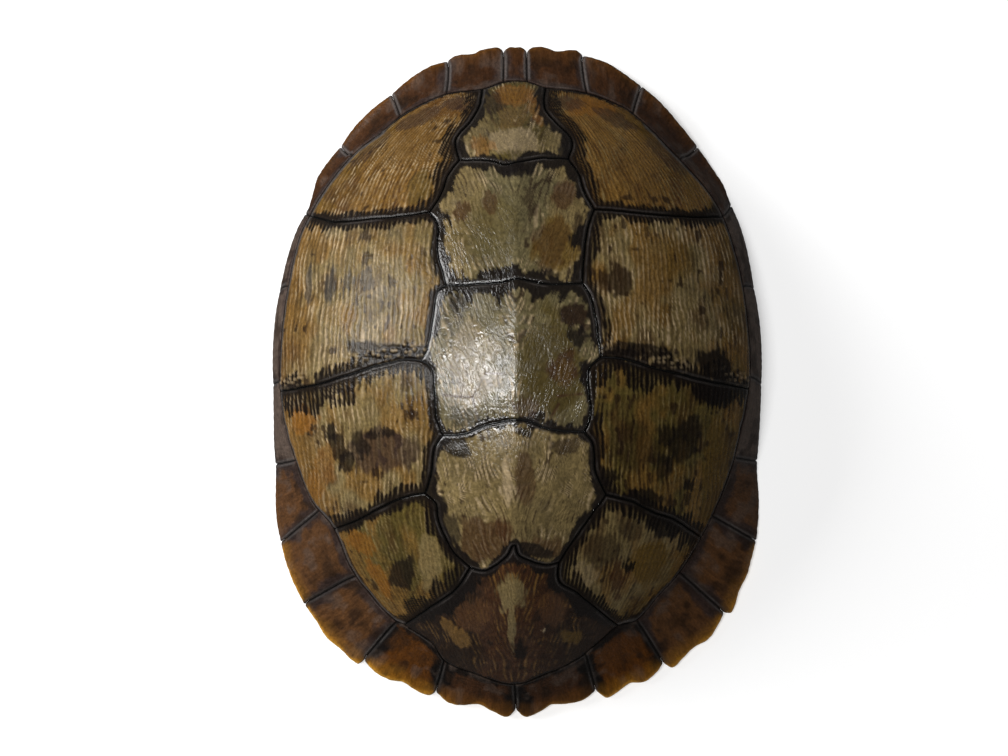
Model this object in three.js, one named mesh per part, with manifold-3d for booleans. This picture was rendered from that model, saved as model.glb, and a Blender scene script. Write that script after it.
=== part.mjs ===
// Turtle carapace: 38 horny scutes laid like tiles over one fused dome of bone.
// Millimetres, +Z up, +Y towards the head end, +X to the right side.
// The shell lies on the sawn faces of its bridge, and the origin is below the middle of its
// outline. Plan points are measured from a point on the midline, which the group moves into place.
import * as THREE from "three";
import { mergeVertices } from "three/addons/utils/BufferGeometryUtils.js";
import Module from "manifold-3d";

// Driving dimensions.
const APEX_HEIGHT = 80; // top of the dome, over the surface that the shell lies on
const KERATIN = 1; // thickness of a scute
const GAP = 0.3; // clearance between pieces that touch
const BONE = 4; // thickness of the bony dome
// From the shell's outer face in to the bone. The gap is wider than GAP where the facets of the
// bone and of the scutes cross each other.
const DOME_BONE_DEPTH = KERATIN + 0.6;
const SKIRT_BONE_DEPTH = KERATIN + 1.2;
// The plan's own zero, on the midline, from the middle of the outline.
const PLAN_PLACE = [-1.1, 0.9];
const KEEL_HEIGHT = 0.7;
const KEEL_WIDTH = 5;
const SEAM_CLEARANCE = 0.03; // below the marginal seam, as a part of the skirt's length
const STEEP = 0.5; // lobes grow no faster than on a rim that slopes at 60 degrees
const HOLLOW_REACH = 0.93; // where the hollow's roof ends, as a part of the way to the marginal seam
const HOLLOW_WALL = 0.4; // where the hollow's wall bends, as a part of the way down the skirt
const BACKBONE_RADIUS = 5; // backbone, fused under the roof of the hollow
const BACKBONE_DROP = 2; // from the roof down to its middle
const BACKBONE_ENDS = [84, -88];

// The profile changes round the shell: degrees from the head end, the same on both sides, against
// heights in mm, slopes in degrees below level, and lengths in mm.
const DOME_RADIUS = [[0, 107.5], [15, 106], [30, 102], [45, 97], [60, 91], [75, 86.5], [90, 84.5],
  [105, 84], [120, 84.5], [135, 88.5], [150, 95], [165, 103], [180, 109]];
const DOME_FOOT = [[0, 24], [30, 25], [60, 27], [90, 27], [120, 25], [150, 21], [180, 19]];
const RIM_HEIGHT = [[0, 12], [25, 10], [37, 6], [45, 1.5], [52, -3], [60, -4], [104, -4], [110, -3],
  [116, 0], [124, 3.2], [135, 3.8], [150, 4.2], [180, 5]];
const RIM_SLOPE = [[0, 26], [35, 36], [58, 80], [105, 82], [130, 42], [150, 26], [180, 34]];
const WRAP = [[0, 8], [37, 6], [45, 2], [52, 0.5], [116, 0.5], [124, 3], [132, 7], [180, 8]];
const SHELF = [[0, 2], [45, 3], [60, 6], [104, 6], [125, 3], [180, 2]];
// Half the thickness of the free edge, and of the bridge where it is sawn through.
const RIM_RADIUS = [[0, 2.7], [42, 2.7], [56, 4.2], [108, 4.2], [122, 2.7], [180, 2.7]];
// How far the bone's edge stays inside the notches between the marginals.
const EDGE_MARGIN = [[0, 1], [37, 1], [52, 0.3], [60, 0], [104, 0], [112, 0.3], [125, 1], [180, 1]];
// How much of a half oval the dome has: with a reach of 1 it would stand upright at its foot.
const DOME_REACH = [[0, 1.7], [40, 1.25], [70, 1.06], [110, 1.06], [145, 1.15], [180, 1.35]];
const DOME_POWER = 2.25;

// Seam between the dome scutes and the marginal scutes, in plan, from the tail round by the left
// side, the head end and the right side.
const MARGINAL_SEAM = [
  [0, -109.5], [-14.5, -105.5], [-25.5, -101], [-29.5, -93.5], [-39.5, -87], [-43, -86], [-53, -75],
  [-58, -68], [-64, -52], [-72.5, -42.5], [-78, -28], [-81, -18.5], [-83.5, -3.5], [-83, 12.5],
  [-80, 36], [-76.5, 52.5], [-73, 59.5], [-67, 69.5], [-55.5, 83], [-48, 88.5], [-41, 95], [-33, 99.5],
  [-24.5, 103], [-11.5, 104.5], [-4, 107.5], [4.5, 107.5], [11, 105], [23, 104], [32.5, 101.5],
  [41.5, 97], [48, 91], [57.5, 80.5], [69, 68], [74.5, 59], [79, 44.5], [82.5, 22], [83.5, 9.5],
  [83, -2.5], [80, -16.5], [78, -27], [72, -45.5], [67, -56], [60, -68], [51.5, -77], [44, -86],
  [37, -87], [32, -91], [22, -100], [10.5, -105.5],
];

// Outer edge of each marginal scute in plan, and where its cross seams meet the marginal seam.
// Both sides run from the head end to the tail.
const RIM_LEFT = [
  [[-4, 120.5], [-6, 122], [-12, 121], [-15, 119.5], [-21.5, 119], [-24.5, 117]],
  [[-24.5, 117], [-30, 115.5], [-37, 111.5], [-45, 105]],
  [[-45, 105], [-53.5, 98.5], [-60, 92], [-64, 86.5]],
  [[-64, 86.5], [-71.5, 78], [-76.5, 70.5], [-78.5, 62]],
  [[-78.5, 62], [-83.5, 51], [-86, 41], [-87.5, 31]],
  [[-87.5, 31], [-88.3, 20], [-89, 9], [-89.5, -2]],
  [[-89.5, -2], [-90, -12], [-90, -22], [-89.5, -31]],
  [[-89.5, -31], [-89.2, -40], [-88.5, -48.5], [-86.5, -59.5]],
  [[-86.5, -59.5], [-84.5, -66.5], [-81, -75.5], [-78.5, -80.5], [-77.5, -82.5]],
  [[-77.5, -82.5], [-73.5, -88], [-69.5, -94.5], [-64, -99], [-58, -104.5], [-55.5, -103]],
  [[-55.5, -103], [-52, -107], [-46.5, -110], [-41, -111], [-36.5, -114], [-31.5, -116], [-29, -114.5]],
  [[-29, -114.5], [-24.5, -118.5], [-19.5, -119.5], [-13, -119], [-8.5, -121.5], [-2.5, -124],
    [0.5, -121]],
];
const RIM_RIGHT = [
  [[4.5, 120.5], [6.5, 122], [11, 122], [15, 120.5], [22.5, 121], [25, 119]],
  [[25, 119], [33.5, 116.5], [40, 112.5], [46.5, 108]],
  [[46.5, 108], [52, 103.5], [60, 95], [67.5, 86.5]],
  [[67.5, 86.5], [73, 79], [78, 72.5], [81.5, 66]],
  [[81.5, 66], [85, 56.5], [88.5, 46], [89.5, 34]],
  [[89.5, 34], [90.5, 22], [91.3, 10], [92, -2]],
  [[92, -2], [92, -12], [91.5, -21], [91, -29.5]],
  [[91, -29.5], [91, -40], [90.5, -49.5], [89.5, -59]],
  [[89.5, -59], [87.5, -66], [86, -71.5], [83, -77.5], [80.5, -85.5], [77.5, -85.5]],
  [[77.5, -85.5], [75, -90.5], [71.5, -95.5], [66.5, -98], [62, -102.5], [58.5, -106], [55, -104]],
  [[55, -104], [52.5, -107.5], [48, -111], [42.5, -111.5], [38, -115], [34, -117], [30, -114]],
  [[30, -114], [25.5, -117.5], [18.5, -119], [13.5, -119], [10, -121.5], [4, -124], [0.5, -121]],
];
const RIM_NUCHAL = [[-4, 120.5], [-2, 122], [0.3, 122], [2.5, 122], [4.5, 120.5]];
const CROSS_LEFT = [[-4, 108], [-24.5, 103.5], [-41, 95], [-58, 81], [-73, 59], [-80, 34], [-83.5, 0],
  [-78, -28], [-70, -46], [-57, -70], [-42.5, -86.5], [-25.5, -101], [0, -109.5]];
const CROSS_RIGHT = [[4.5, 108], [26, 104], [42.5, 96.5], [59, 79.5], [74.5, 59], [81, 34], [83.5, 2],
  [78, -27], [70.5, -48], [59.5, -69], [44, -86], [25.5, -98], [0, -109.5]];

// Corners where three dome scutes meet, or two of them and the marginals.
const INNER_CORNER = {
  left: {
    v1v2: [-19, 75.5], v2c1c2: [-29, 57], v2v3: [-23, 32], v3c2c3: [-31, 7],
    v3v4: [-24, -17.5], v4c3c4: [-30, -37], v4v5: [-15, -62.5],
  },
  right: {
    v1v2: [18, 76], v2c1c2: [26.5, 58], v2v3: [22, 32.5], v3c2c3: [28, 8],
    v3v4: [22.5, -16.5], v4c3c4: [30, -37.5], v4v5: [14.5, -60.5],
  },
};
const OUTER_CORNER = {
  left: {
    head: [-11.5, 104], shoulder: [-48, 88.5],
    c1c2: [-73, 59], c2c3: [-83, -3.5], c3c4: [-64, -52], c4v5: [-39.5, -87],
  },
  right: {
    head: [11, 104.5], shoulder: [48, 91],
    c1c2: [74.5, 59], c2c3: [83, -2.5], c3c4: [67, -56], c4v5: [37, -87],
  },
};

// Points that the seams between dome scutes pass on the way from corner to corner: across the
// midline from left to right, beside the vertebrals from head to tail, and outwards between costals.
const ACROSS = {
  v1v2: [[-9.5, 75], [-3.5, 73], [1.5, 74], [10, 76]],
  v2v3: [[-13.5, 32], [-5, 32.5], [1.5, 33.5], [11, 32]],
  v3v4: [[-16.5, -17], [-9, -14], [-0.5, -12.3], [5, -13], [11, -15.5]],
  v4v5: [[-9.5, -63], [-3.5, -58.5], [-0.5, -53.5], [1.5, -57.5], [9.5, -61]],
};
const BESIDE = {
  left: {
    v1: [[-12.5, 97], [-15.5, 91], [-20.5, 83.5]],
    v2front: [[-23, 70], [-25, 63.5]],
    v2rear: [[-26, 52.5], [-26, 43.5], [-24.5, 37.5]],
    v3front: [[-26, 29], [-27.5, 20], [-29, 11]],
    v3rear: [[-27.5, 4], [-26.5, -6.5], [-26, -12]],
    v4front: [[-27, -22.5], [-28, -31]],
    v4rear: [[-26.5, -40.5], [-25.5, -47], [-21.5, -56]],
    v5: [[-20, -70.5], [-29.5, -78.5]],
  },
  right: {
    v1: [[10.5, 96], [14.5, 90], [19.5, 83.5]],
    v2front: [[21.5, 70.5], [23, 65]],
    v2rear: [[24, 51], [22.5, 40.5]],
    v3front: [[24.5, 28.5], [26, 22.5], [27, 16]],
    v3rear: [[24, 4], [24, -3.5], [24.5, -11]],
    v4front: [[25.5, -20.5], [26.5, -30]],
    v4rear: [[24, -46], [20, -52]],
    v5: [[15, -67.5], [22, -73], [31, -81.5]],
  },
};
const OUTWARDS = {
  left: {
    c1c2: [[-37.5, 56], [-49.5, 55.5], [-62.5, 55.5]],
    c2c3: [[-36.5, 7.5], [-43.5, 6], [-52, 3.5], [-60.5, 1], [-70.5, -1.5]],
    c3c4: [[-37, -38.5], [-44.5, -42], [-53, -47]],
  },
  right: {
    c1c2: [[39, 57.5], [51.5, 57], [64.5, 57.5]],
    c2c3: [[32, 8], [38, 7], [45, 5], [51.5, 3.5], [64.5, 0.5]],
    c3c4: [[38.5, -40], [47.5, -44.5], [55.5, -48]],
  },
};

// Facets along each stretch of seam. Sides of one scute that face each other have equal sums.
const STEPS = {
  across: 8, v1: 4, v2front: 3, v2rear: 4, v3front: 4, v3rear: 4, v4front: 3, v4rear: 5, v5: 8,
  between: 8, lateral: { c1: 7, c2: 8, c3: 7, c4: 5 },
};
const BONE_COLUMNS = 56;
const BONE_RINGS = [0, 0.2, 0.4, 0.58, 0.73, 0.85, 0.94, 1];
const HOLLOW_RINGS = [1, 0.9, 0.76, 0.6, 0.42, 0.22, 0];
const SKIRT_STEPS = 3;
const EDGE_STEPS = 2;

// ---- curves -------------------------------------------------------------------------------

const steps = (count) => Array.from({ length: count + 1 }, (_, i) => i / count);

// The row of a table of [x, y] rows, in rising x, after which x lies.
function rowBefore(rows, x) {
  const next = rows.findIndex(([rowX]) => rowX >= x);
  return THREE.MathUtils.clamp(next < 0 ? rows.length : next, 1, rows.length - 1) - 1;
}

// A smooth function through the rows of a table.
function smoothTable(rows) {
  const slope = (i) => {
    const [x0, y0] = rows[Math.max(i - 1, 0)];
    const [x1, y1] = rows[Math.min(i + 1, rows.length - 1)];
    return (y1 - y0) / (x1 - x0);
  };
  return (x) => {
    const i = rowBefore(rows, x);
    const [x0, y0] = rows[i];
    const [x1, y1] = rows[i + 1];
    const width = x1 - x0;
    const t = (x - x0) / width;
    const rise = (y1 - y0) * t * t * (3 - 2 * t);
    const lean = width * t * (1 - t) * (slope(i) * (1 - t) - slope(i + 1) * t);
    return y0 + rise + lean;
  };
}

// A function that follows straight lines between the rows of a table.
function straightTable(rows) {
  return (x) => {
    const i = rowBefore(rows, x);
    const [x0, y0] = rows[i];
    const [x1, y1] = rows[i + 1];
    return y0 + ((y1 - y0) * (x - x0)) / (x1 - x0);
  };
}

// Directions are degrees clockwise from the head end, as seen from above.
const directionOf = ([x, y]) => THREE.MathUtils.radToDeg(Math.atan2(x, y));

// The same direction, counted so that it is less than half a turn from another one.
const near = (direction, other) => direction - 360 * Math.round((direction - other) / 360);

// A closed outline in plan as [direction, radius] rows, with some of each end repeated past the
// other end.
function polarRows(outline) {
  const rows = outline.map((point) => [directionOf(point), Math.hypot(...point)]);
  rows.sort((a, b) => a[0] - b[0]);
  const before = rows.slice(-2).map(([direction, radius]) => [direction - 360, radius]);
  const after = rows.slice(0, 2).map(([direction, radius]) => [direction + 360, radius]);
  return [...before, ...rows, ...after];
}

function aroundOutline(value) {
  return (direction) => value(near(direction, 0));
}
const seamRadius = aroundOutline(smoothTable(polarRows(MARGINAL_SEAM)));
const rimOutline = [
  ...RIM_LEFT.toReversed().flatMap((edge) => edge.toReversed().slice(1)),
  ...RIM_NUCHAL.slice(1),
  ...RIM_RIGHT.flatMap((edge) => edge.slice(1)),
];
const rimRadius = aroundOutline(straightTable(polarRows(rimOutline)));
const notches = [...RIM_LEFT, ...RIM_RIGHT].map((edge) => edge[0]).concat([RIM_LEFT.at(-1).at(-1)]);
const notchRadius = aroundOutline(smoothTable(polarRows(notches)));

// A smooth function of direction that is the same on both sides of the midline.
function bothSides(rows) {
  const [secondDirection, second] = rows[1];
  const [lastButOneDirection, lastButOne] = rows.at(-2);
  const before = [-secondDirection, second];
  const after = [360 - lastButOneDirection, lastButOne];
  const value = smoothTable([before, ...rows, after]);
  return (direction) => value(Math.abs(near(direction, 0)));
}
const domeRadius = bothSides(DOME_RADIUS);
const domeFoot = bothSides(DOME_FOOT);
const rimHeight = bothSides(RIM_HEIGHT);
const rimSlope = bothSides(RIM_SLOPE);
const wrapLength = bothSides(WRAP);
const shelfLength = bothSides(SHELF);
const edgeRadius = bothSides(RIM_RADIUS);
const edgeMargin = bothSides(EDGE_MARGIN);
const domeReach = bothSides(DOME_REACH);

// ---- the shell's faces --------------------------------------------------------------------

// Profiles lie in an upright plane through the middle: x is the distance out, y the height.
// A depth is measured inwards from the shell's outer face.
const outAndUp = (out, up) => new THREE.Vector2(out, up);
const quarterTurn = (vector) => outAndUp(-vector.y, vector.x);

function inSpace(direction, profilePoint) {
  const angle = THREE.MathUtils.degToRad(direction);
  const { x: out, y: up } = profilePoint;
  return new THREE.Vector3(out * Math.sin(angle), out * Math.cos(angle), up);
}

// The dome at a distance out from the middle, and its downhill direction there.
function domeProfile(direction, distance) {
  const radius = domeRadius(direction);
  const part = distance / radius;
  const reach = domeReach(direction);
  const low = domeFoot(direction);
  const oval = (at) => Math.sqrt(1 - (at / reach) ** DOME_POWER);
  const scale = (APEX_HEIGHT - low) / (1 - oval(1));
  const up = low + scale * (oval(part) - oval(1));
  const fall = (scale * DOME_POWER * (part / reach) ** (DOME_POWER - 1)) / (2 * reach * oval(part));
  return { point: outAndUp(distance, up), downhill: outAndUp(radius, -fall).normalize() };
}

function domePoint(direction, distance, depth) {
  const { point, downhill } = domeProfile(direction, distance);
  return inSpace(direction, point.addScaledVector(quarterTurn(downhill), -depth));
}

// The middle of the rounded free edge, and the direction in which the rim points. Without its
// lobes, the rim is a smooth oval that stays inside every notch.
function edgeProfile(direction, lobed) {
  const slope = THREE.MathUtils.degToRad(rimSlope(direction));
  const pointing = outAndUp(Math.cos(slope), -Math.sin(slope));
  const smooth = notchRadius(direction) - edgeMargin(direction);
  const radius = edgeRadius(direction);
  const middle = outAndUp(smooth - radius, rimHeight(direction));
  if (lobed) {
    const lobe = Math.max(rimRadius(direction) - smooth, 0);
    middle.addScaledVector(pointing, lobe / Math.max(pointing.x, STEEP));
  }
  return { middle, pointing, radius };
}

// The marginal skirt, from 0 at its seam to 1 where the lobes and the rounded edge start.
function skirtPoint(direction, part, depth) {
  const { point: seam, downhill } = domeProfile(direction, seamRadius(direction));
  const { middle, pointing, radius } = edgeProfile(direction, false);
  const start = seam.clone().addScaledVector(quarterTurn(downhill), -depth);
  const end = middle.clone().addScaledVector(quarterTurn(pointing), radius - depth);
  const handle = start.distanceTo(end) * 0.35;
  const curve = new THREE.CubicBezierCurve(
    start,
    start.clone().addScaledVector(downhill, handle),
    end.clone().addScaledVector(pointing, -handle),
    end,
  );
  return inSpace(direction, curve.getPoint(part));
}

// The rounded edge, from 0 on top of it to 1 on its underside.
function edgePoint(direction, part, depth, lobed) {
  const { middle, pointing, radius: outerRadius } = edgeProfile(direction, lobed);
  const turn = Math.PI * part;
  const radius = outerRadius - depth;
  const point = middle
    .addScaledVector(quarterTurn(pointing), radius * Math.cos(turn))
    .addScaledVector(pointing, radius * Math.sin(turn));
  return inSpace(direction, point);
}

// The underside of the rim, a length in from the rounded edge.
function undersidePoint(direction, length, depth) {
  const { middle, pointing, radius } = edgeProfile(direction, false);
  const point = middle
    .addScaledVector(quarterTurn(pointing), depth - radius)
    .addScaledVector(pointing, -length);
  return inSpace(direction, point);
}

// ---- solids -------------------------------------------------------------------------------

const wasm = await Module();
wasm.setup();

function geometryOf(points, triangles) {
  const geometry = new THREE.BufferGeometry();
  geometry.setFromPoints(points);
  geometry.setIndex(triangles.flat());
  return geometry;
}

function toManifold(geometry) {
  const bare = geometry.clone();
  bare.deleteAttribute("normal");
  bare.deleteAttribute("uv");
  const merged = mergeVertices(bare);
  const vertProperties = merged.attributes.position.array;
  const triVerts = Uint32Array.from(merged.index.array);
  return new wasm.Manifold(new wasm.Mesh({ numProp: 3, vertProperties, triVerts }));
}

function fromManifold(solid) {
  const { vertProperties, triVerts } = solid.getMesh();
  const geometry = new THREE.BufferGeometry();
  geometry.setAttribute("position", new THREE.BufferAttribute(vertProperties, 3));
  geometry.setIndex(new THREE.BufferAttribute(triVerts, 1));
  return geometry;
}

// Everything below the ground plane, where the bridge to the lower shell was sawn through.
const SAWN_OFF = toManifold(new THREE.BoxGeometry(400, 400, 40).translate(0, 0, -20));

function sawnFlat(geometry) {
  geometry.computeBoundingBox();
  return geometry.boundingBox.min.z < 0 ? fromManifold(toManifold(geometry).subtract(SAWN_OFF)) : geometry;
}

const quad = (a, b, c, d) => [a, b, c, a, c, d];

// A closed slab between two grids of points. Seen from outside, a row runs to the right and the
// rows follow each other downwards.
function slab(outer, inner) {
  const rows = outer.length;
  const columns = outer[0].length;
  const top = (row, column) => row * columns + column;
  const under = (row, column) => rows * columns + top(row, column);
  const triangles = [];
  for (let row = 0; row + 1 < rows; row += 1) {
    for (let column = 0; column + 1 < columns; column += 1) {
      const [nextRow, nextColumn] = [row + 1, column + 1];
      triangles.push(quad(top(row, column), top(nextRow, column), top(nextRow, nextColumn),
        top(row, nextColumn)));
      triangles.push(quad(under(row, column), under(row, nextColumn), under(nextRow, nextColumn),
        under(nextRow, column)));
    }
  }
  const wall = (rowA, columnA, rowB, columnB) => triangles.push(quad(
    top(rowA, columnA), top(rowB, columnB), under(rowB, columnB), under(rowA, columnA)));
  for (let column = 0; column + 1 < columns; column += 1) {
    wall(0, column, 0, column + 1);
    wall(rows - 1, column + 1, rows - 1, column);
  }
  for (let row = 0; row + 1 < rows; row += 1) {
    wall(row + 1, 0, row, 0);
    wall(row, columns - 1, row + 1, columns - 1);
  }
  return geometryOf([...outer.flat(), ...inner.flat()], triangles);
}

// A closed body round the vertical axis: rings of points that run clockwise as seen from above,
// from the first pole, on top, over the edge to the second one.
function ringBody(firstPole, rings, secondPole) {
  const around = rings[0].length;
  const at = (ring, column) => 1 + ring * around + (column % around);
  const last = 1 + rings.length * around;
  const triangles = [];
  for (let column = 0; column < around; column += 1) {
    triangles.push([0, at(0, column + 1), at(0, column)]);
    triangles.push([last, at(rings.length - 1, column), at(rings.length - 1, column + 1)]);
    for (let ring = 0; ring + 1 < rings.length; ring += 1) {
      triangles.push(quad(at(ring, column), at(ring, column + 1), at(ring + 1, column + 1),
        at(ring + 1, column)));
    }
  }
  return geometryOf([firstPole, ...rings.flat(), secondPole], triangles);
}

// ---- scutes of the dome -------------------------------------------------------------------

const vector = ([x, y]) => new THREE.Vector2(x, y);

function seam(points, count) {
  return new THREE.SplineCurve(points.map(vector)).getSpacedPoints(count);
}

// A stretch of the marginal seam, the short way between the directions of two points.
function marginalStretch(from, to, count) {
  const start = directionOf(from);
  const end = near(directionOf(to), start);
  return steps(count).map((part) => {
    const direction = THREE.MathUtils.lerp(start, end, part);
    const onSeam = inSpace(direction, outAndUp(seamRadius(direction), 0));
    return new THREE.Vector2(onSeam.x, onSeam.y);
  });
}

// The corners of one side, with the outer ones moved exactly onto the marginal seam.
function cornersOf(side) {
  const outer = Object.entries(OUTER_CORNER[side]);
  const moved = outer.map(([name, point]) => [name, marginalStretch(point, point, 1)[0].toArray()]);
  return { ...INNER_CORNER[side], ...Object.fromEntries(moved) };
}
const CORNER = { left: cornersOf("left"), right: cornersOf("right") };

const joined = (first, second) => [...first, ...second.slice(1)];

// Moves a closed clockwise outline inwards.
function inset(outline, distance) {
  const inwards = (from, to) => {
    const along = to.clone().sub(from).normalize();
    return new THREE.Vector2(along.y, -along.x);
  };
  return outline.map((point, i) => {
    const before = inwards(outline.at(i - 1), point);
    const after = inwards(point, outline[(i + 1) % outline.length]);
    const corner = before.clone().add(after).normalize();
    return point.clone().addScaledVector(corner, distance / corner.dot(before));
  });
}

// The four sides of a scute, set in from the middle of its seams. Front and rear run from left to
// right, and left and right run from head to tail.
function setIn(sides) {
  const { front, right, rear, left } = sides;
  const outline = [
    ...front.slice(0, -1),
    ...right.slice(0, -1),
    ...rear.toReversed().slice(0, -1),
    ...left.toReversed().slice(0, -1),
  ];
  const moved = inset(outline, GAP / 2);
  const closed = [...moved, moved[0]];
  const across = front.length - 1;
  const down = right.length - 1;
  return {
    front: closed.slice(0, across + 1),
    right: closed.slice(across, across + down + 1),
    rear: closed.slice(across + down, 2 * across + down + 1).toReversed(),
    left: closed.slice(2 * across + down).toReversed(),
  };
}

// Fills the space between four sides with a grid, by Coons' blend of the opposite sides.
function planGrid({ front, right, rear, left }) {
  const across = front.length - 1;
  const down = right.length - 1;
  return left.map((leftPoint, row) => front.map((frontPoint, column) => {
    const s = column / across;
    const t = row / down;
    const frontRear = frontPoint.clone().lerp(rear[column], t);
    const leftRight = leftPoint.clone().lerp(right[row], s);
    const frontCorners = front[0].clone().lerp(front[across], s);
    const rearCorners = rear[0].clone().lerp(rear[across], s);
    return frontRear.add(leftRight).sub(frontCorners.lerp(rearCorners, t));
  }));
}

const keelRise = (x) => KEEL_HEIGHT * Math.exp(-((x / KEEL_WIDTH) ** 2));

function domeScute(sides) {
  const plan = planGrid(setIn(sides));
  const layer = (depthAt) => plan.map((row) => row.map((point) => domePoint(
    directionOf(point.toArray()), point.length(), depthAt(point))));
  return slab(layer((point) => -keelRise(point.x)), layer(() => KERATIN));
}

function besideSeam(side, name, from, to) {
  const corners = CORNER[side];
  return seam([corners[from], ...BESIDE[side][name], corners[to]], STEPS[name]);
}

// Seams beside the vertebrals on one side, from head to tail.
function seamsBeside(side) {
  return {
    v1: besideSeam(side, "v1", "head", "v1v2"),
    v2: joined(besideSeam(side, "v2front", "v1v2", "v2c1c2"), besideSeam(side, "v2rear", "v2c1c2", "v2v3")),
    v3: joined(besideSeam(side, "v3front", "v2v3", "v3c2c3"), besideSeam(side, "v3rear", "v3c2c3", "v3v4")),
    v4: joined(besideSeam(side, "v4front", "v3v4", "v4c3c4"), besideSeam(side, "v4rear", "v4c3c4", "v4v5")),
    v5: besideSeam(side, "v5", "v4v5", "c4v5"),
  };
}

function acrossSeam(name) {
  return seam([CORNER.left[name], ...ACROSS[name], CORNER.right[name]], STEPS.across);
}

function vertebralScutes(beside) {
  const { left, right } = CORNER;
  const acrosses = [
    marginalStretch(left.head, right.head, STEPS.across),
    ...Object.keys(ACROSS).map(acrossSeam),
    marginalStretch(left.c4v5, right.c4v5, STEPS.across),
  ];
  return ["v1", "v2", "v3", "v4", "v5"].map((name, i) => domeScute({
    front: acrosses[i],
    rear: acrosses[i + 1],
    left: beside.left[name],
    right: beside.right[name],
  }));
}

// The four costals of one side, from head to tail.
function costalScutes(side, beside) {
  const corners = CORNER[side];
  const outwards = (name, inner) => seam(
    [corners[inner], ...OUTWARDS[side][name], corners[name]], STEPS.between);
  const lateral = (from, to, name) => marginalStretch(corners[from], corners[to], STEPS.lateral[name]);
  const c1c2 = outwards("c1c2", "v2c1c2");
  const c2c3 = outwards("c2c3", "v3c2c3");
  const c3c4 = outwards("c3c4", "v4c3c4");
  const { v1, v2, v3, v4, v5 } = beside;
  const firstPart = (line, name) => line.slice(0, STEPS[name] + 1);
  const lastPart = (line, name) => line.slice(STEPS[name]);
  const shoulder = marginalStretch(corners.head, corners.shoulder, STEPS.between);
  const sidesOf = [
    { front: shoulder, rear: c1c2, inner: joined(v1, firstPart(v2, "v2front")),
      outer: lateral("shoulder", "c1c2", "c1") },
    { front: c1c2, rear: c2c3, inner: joined(lastPart(v2, "v2front"), firstPart(v3, "v3front")),
      outer: lateral("c1c2", "c2c3", "c2") },
    { front: c2c3, rear: c3c4, inner: joined(lastPart(v3, "v3front"), firstPart(v4, "v4front")),
      outer: lateral("c2c3", "c3c4", "c3") },
    { front: c3c4, rear: v5, inner: lastPart(v4, "v4front"), outer: lateral("c3c4", "c4v5", "c4") },
  ];
  return sidesOf.map(({ front, rear, inner, outer }) => domeScute(side === "left"
    ? { front: front.toReversed(), rear: rear.toReversed(), left: outer, right: inner }
    : { front, rear, left: inner, right: outer }));
}

// ---- marginal scutes ----------------------------------------------------------------------

// One marginal between two cross seams, bent over the edge of the shell. The edge runs clockwise
// as seen from above.
function marginalScute(edge, crossFrom, crossTo) {
  const lastColumn = edge.length - 1;
  const shrink = (direction, i, radius) => {
    const step = THREE.MathUtils.radToDeg(GAP / 2 / radius);
    return direction + (i === 0 ? step : 0) - (i === lastColumn ? step : 0);
  };
  const middle = directionOf(edge[1]);
  const seamFrom = near(directionOf(crossFrom), middle);
  const seamTo = near(directionOf(crossTo), middle);
  const columns = edge.map((point, i) => {
    const onSeam = THREE.MathUtils.lerp(seamFrom, seamTo, i / lastColumn);
    return {
      seam: shrink(onSeam, i, seamRadius(onSeam)),
      edge: shrink(near(directionOf(point), middle), i, Math.hypot(...point)),
    };
  });
  const layer = (depth) => {
    const underside = columns.map(({ edge: at }) => undersidePoint(at, wrapLength(at), depth));
    const rounded = steps(EDGE_STEPS).toReversed()
      .map((part) => columns.map(({ edge: at }) => edgePoint(at, part, depth, true)));
    const skirt = steps(SKIRT_STEPS).toReversed().map((part) => columns.map((column) => {
      const belowSeam = Math.max(part, SEAM_CLEARANCE);
      const at = THREE.MathUtils.lerp(column.seam, column.edge, belowSeam);
      return skirtPoint(at, belowSeam, depth);
    }));
    return [underside, ...rounded, ...skirt];
  };
  return sawnFlat(slab(layer(0), layer(KERATIN)));
}

function marginalScutes(edges, crossings, clockwise) {
  return edges.map((edge, i) => {
    const [from, to] = clockwise ? [i, i + 1] : [i + 1, i];
    const run = clockwise ? edge : edge.toReversed();
    return marginalScute(run, crossings[from], crossings[to]);
  });
}

// ---- bone ---------------------------------------------------------------------------------

function boneBody() {
  const directions = steps(BONE_COLUMNS).slice(1).map((turn) => 360 * turn - 180);
  const ring = (pointAt) => directions.map(pointAt);
  const outerDome = BONE_RINGS.slice(1).map((part) => ring((at) => domePoint(
    at, part * seamRadius(at), DOME_BONE_DEPTH)));
  const skirt = steps(SKIRT_STEPS).slice(1).map((part) => ring((at) => skirtPoint(
    at, part, SKIRT_BONE_DEPTH)));
  const edge = steps(EDGE_STEPS).slice(1).map((part) => ring((at) => edgePoint(
    at, part, SKIRT_BONE_DEPTH, false)));
  const underside = [0, 1].map((past) => ring((at) => undersidePoint(
    at, wrapLength(at) + past * shelfLength(at), SKIRT_BONE_DEPTH)));
  const wall = ring((at) => skirtPoint(at, HOLLOW_WALL, SKIRT_BONE_DEPTH + BONE));
  const hollow = HOLLOW_RINGS.slice(0, -1).map((part) => ring((at) => domePoint(
    at, part * HOLLOW_REACH * seamRadius(at), DOME_BONE_DEPTH + BONE)));
  const poleAt = (depth) => domePoint(0, 0, depth);
  const rings = [...outerDome, ...skirt, ...edge, ...underside, wall, ...hollow];
  return ringBody(poleAt(DOME_BONE_DEPTH), rings, poleAt(DOME_BONE_DEPTH + BONE));
}

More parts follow.
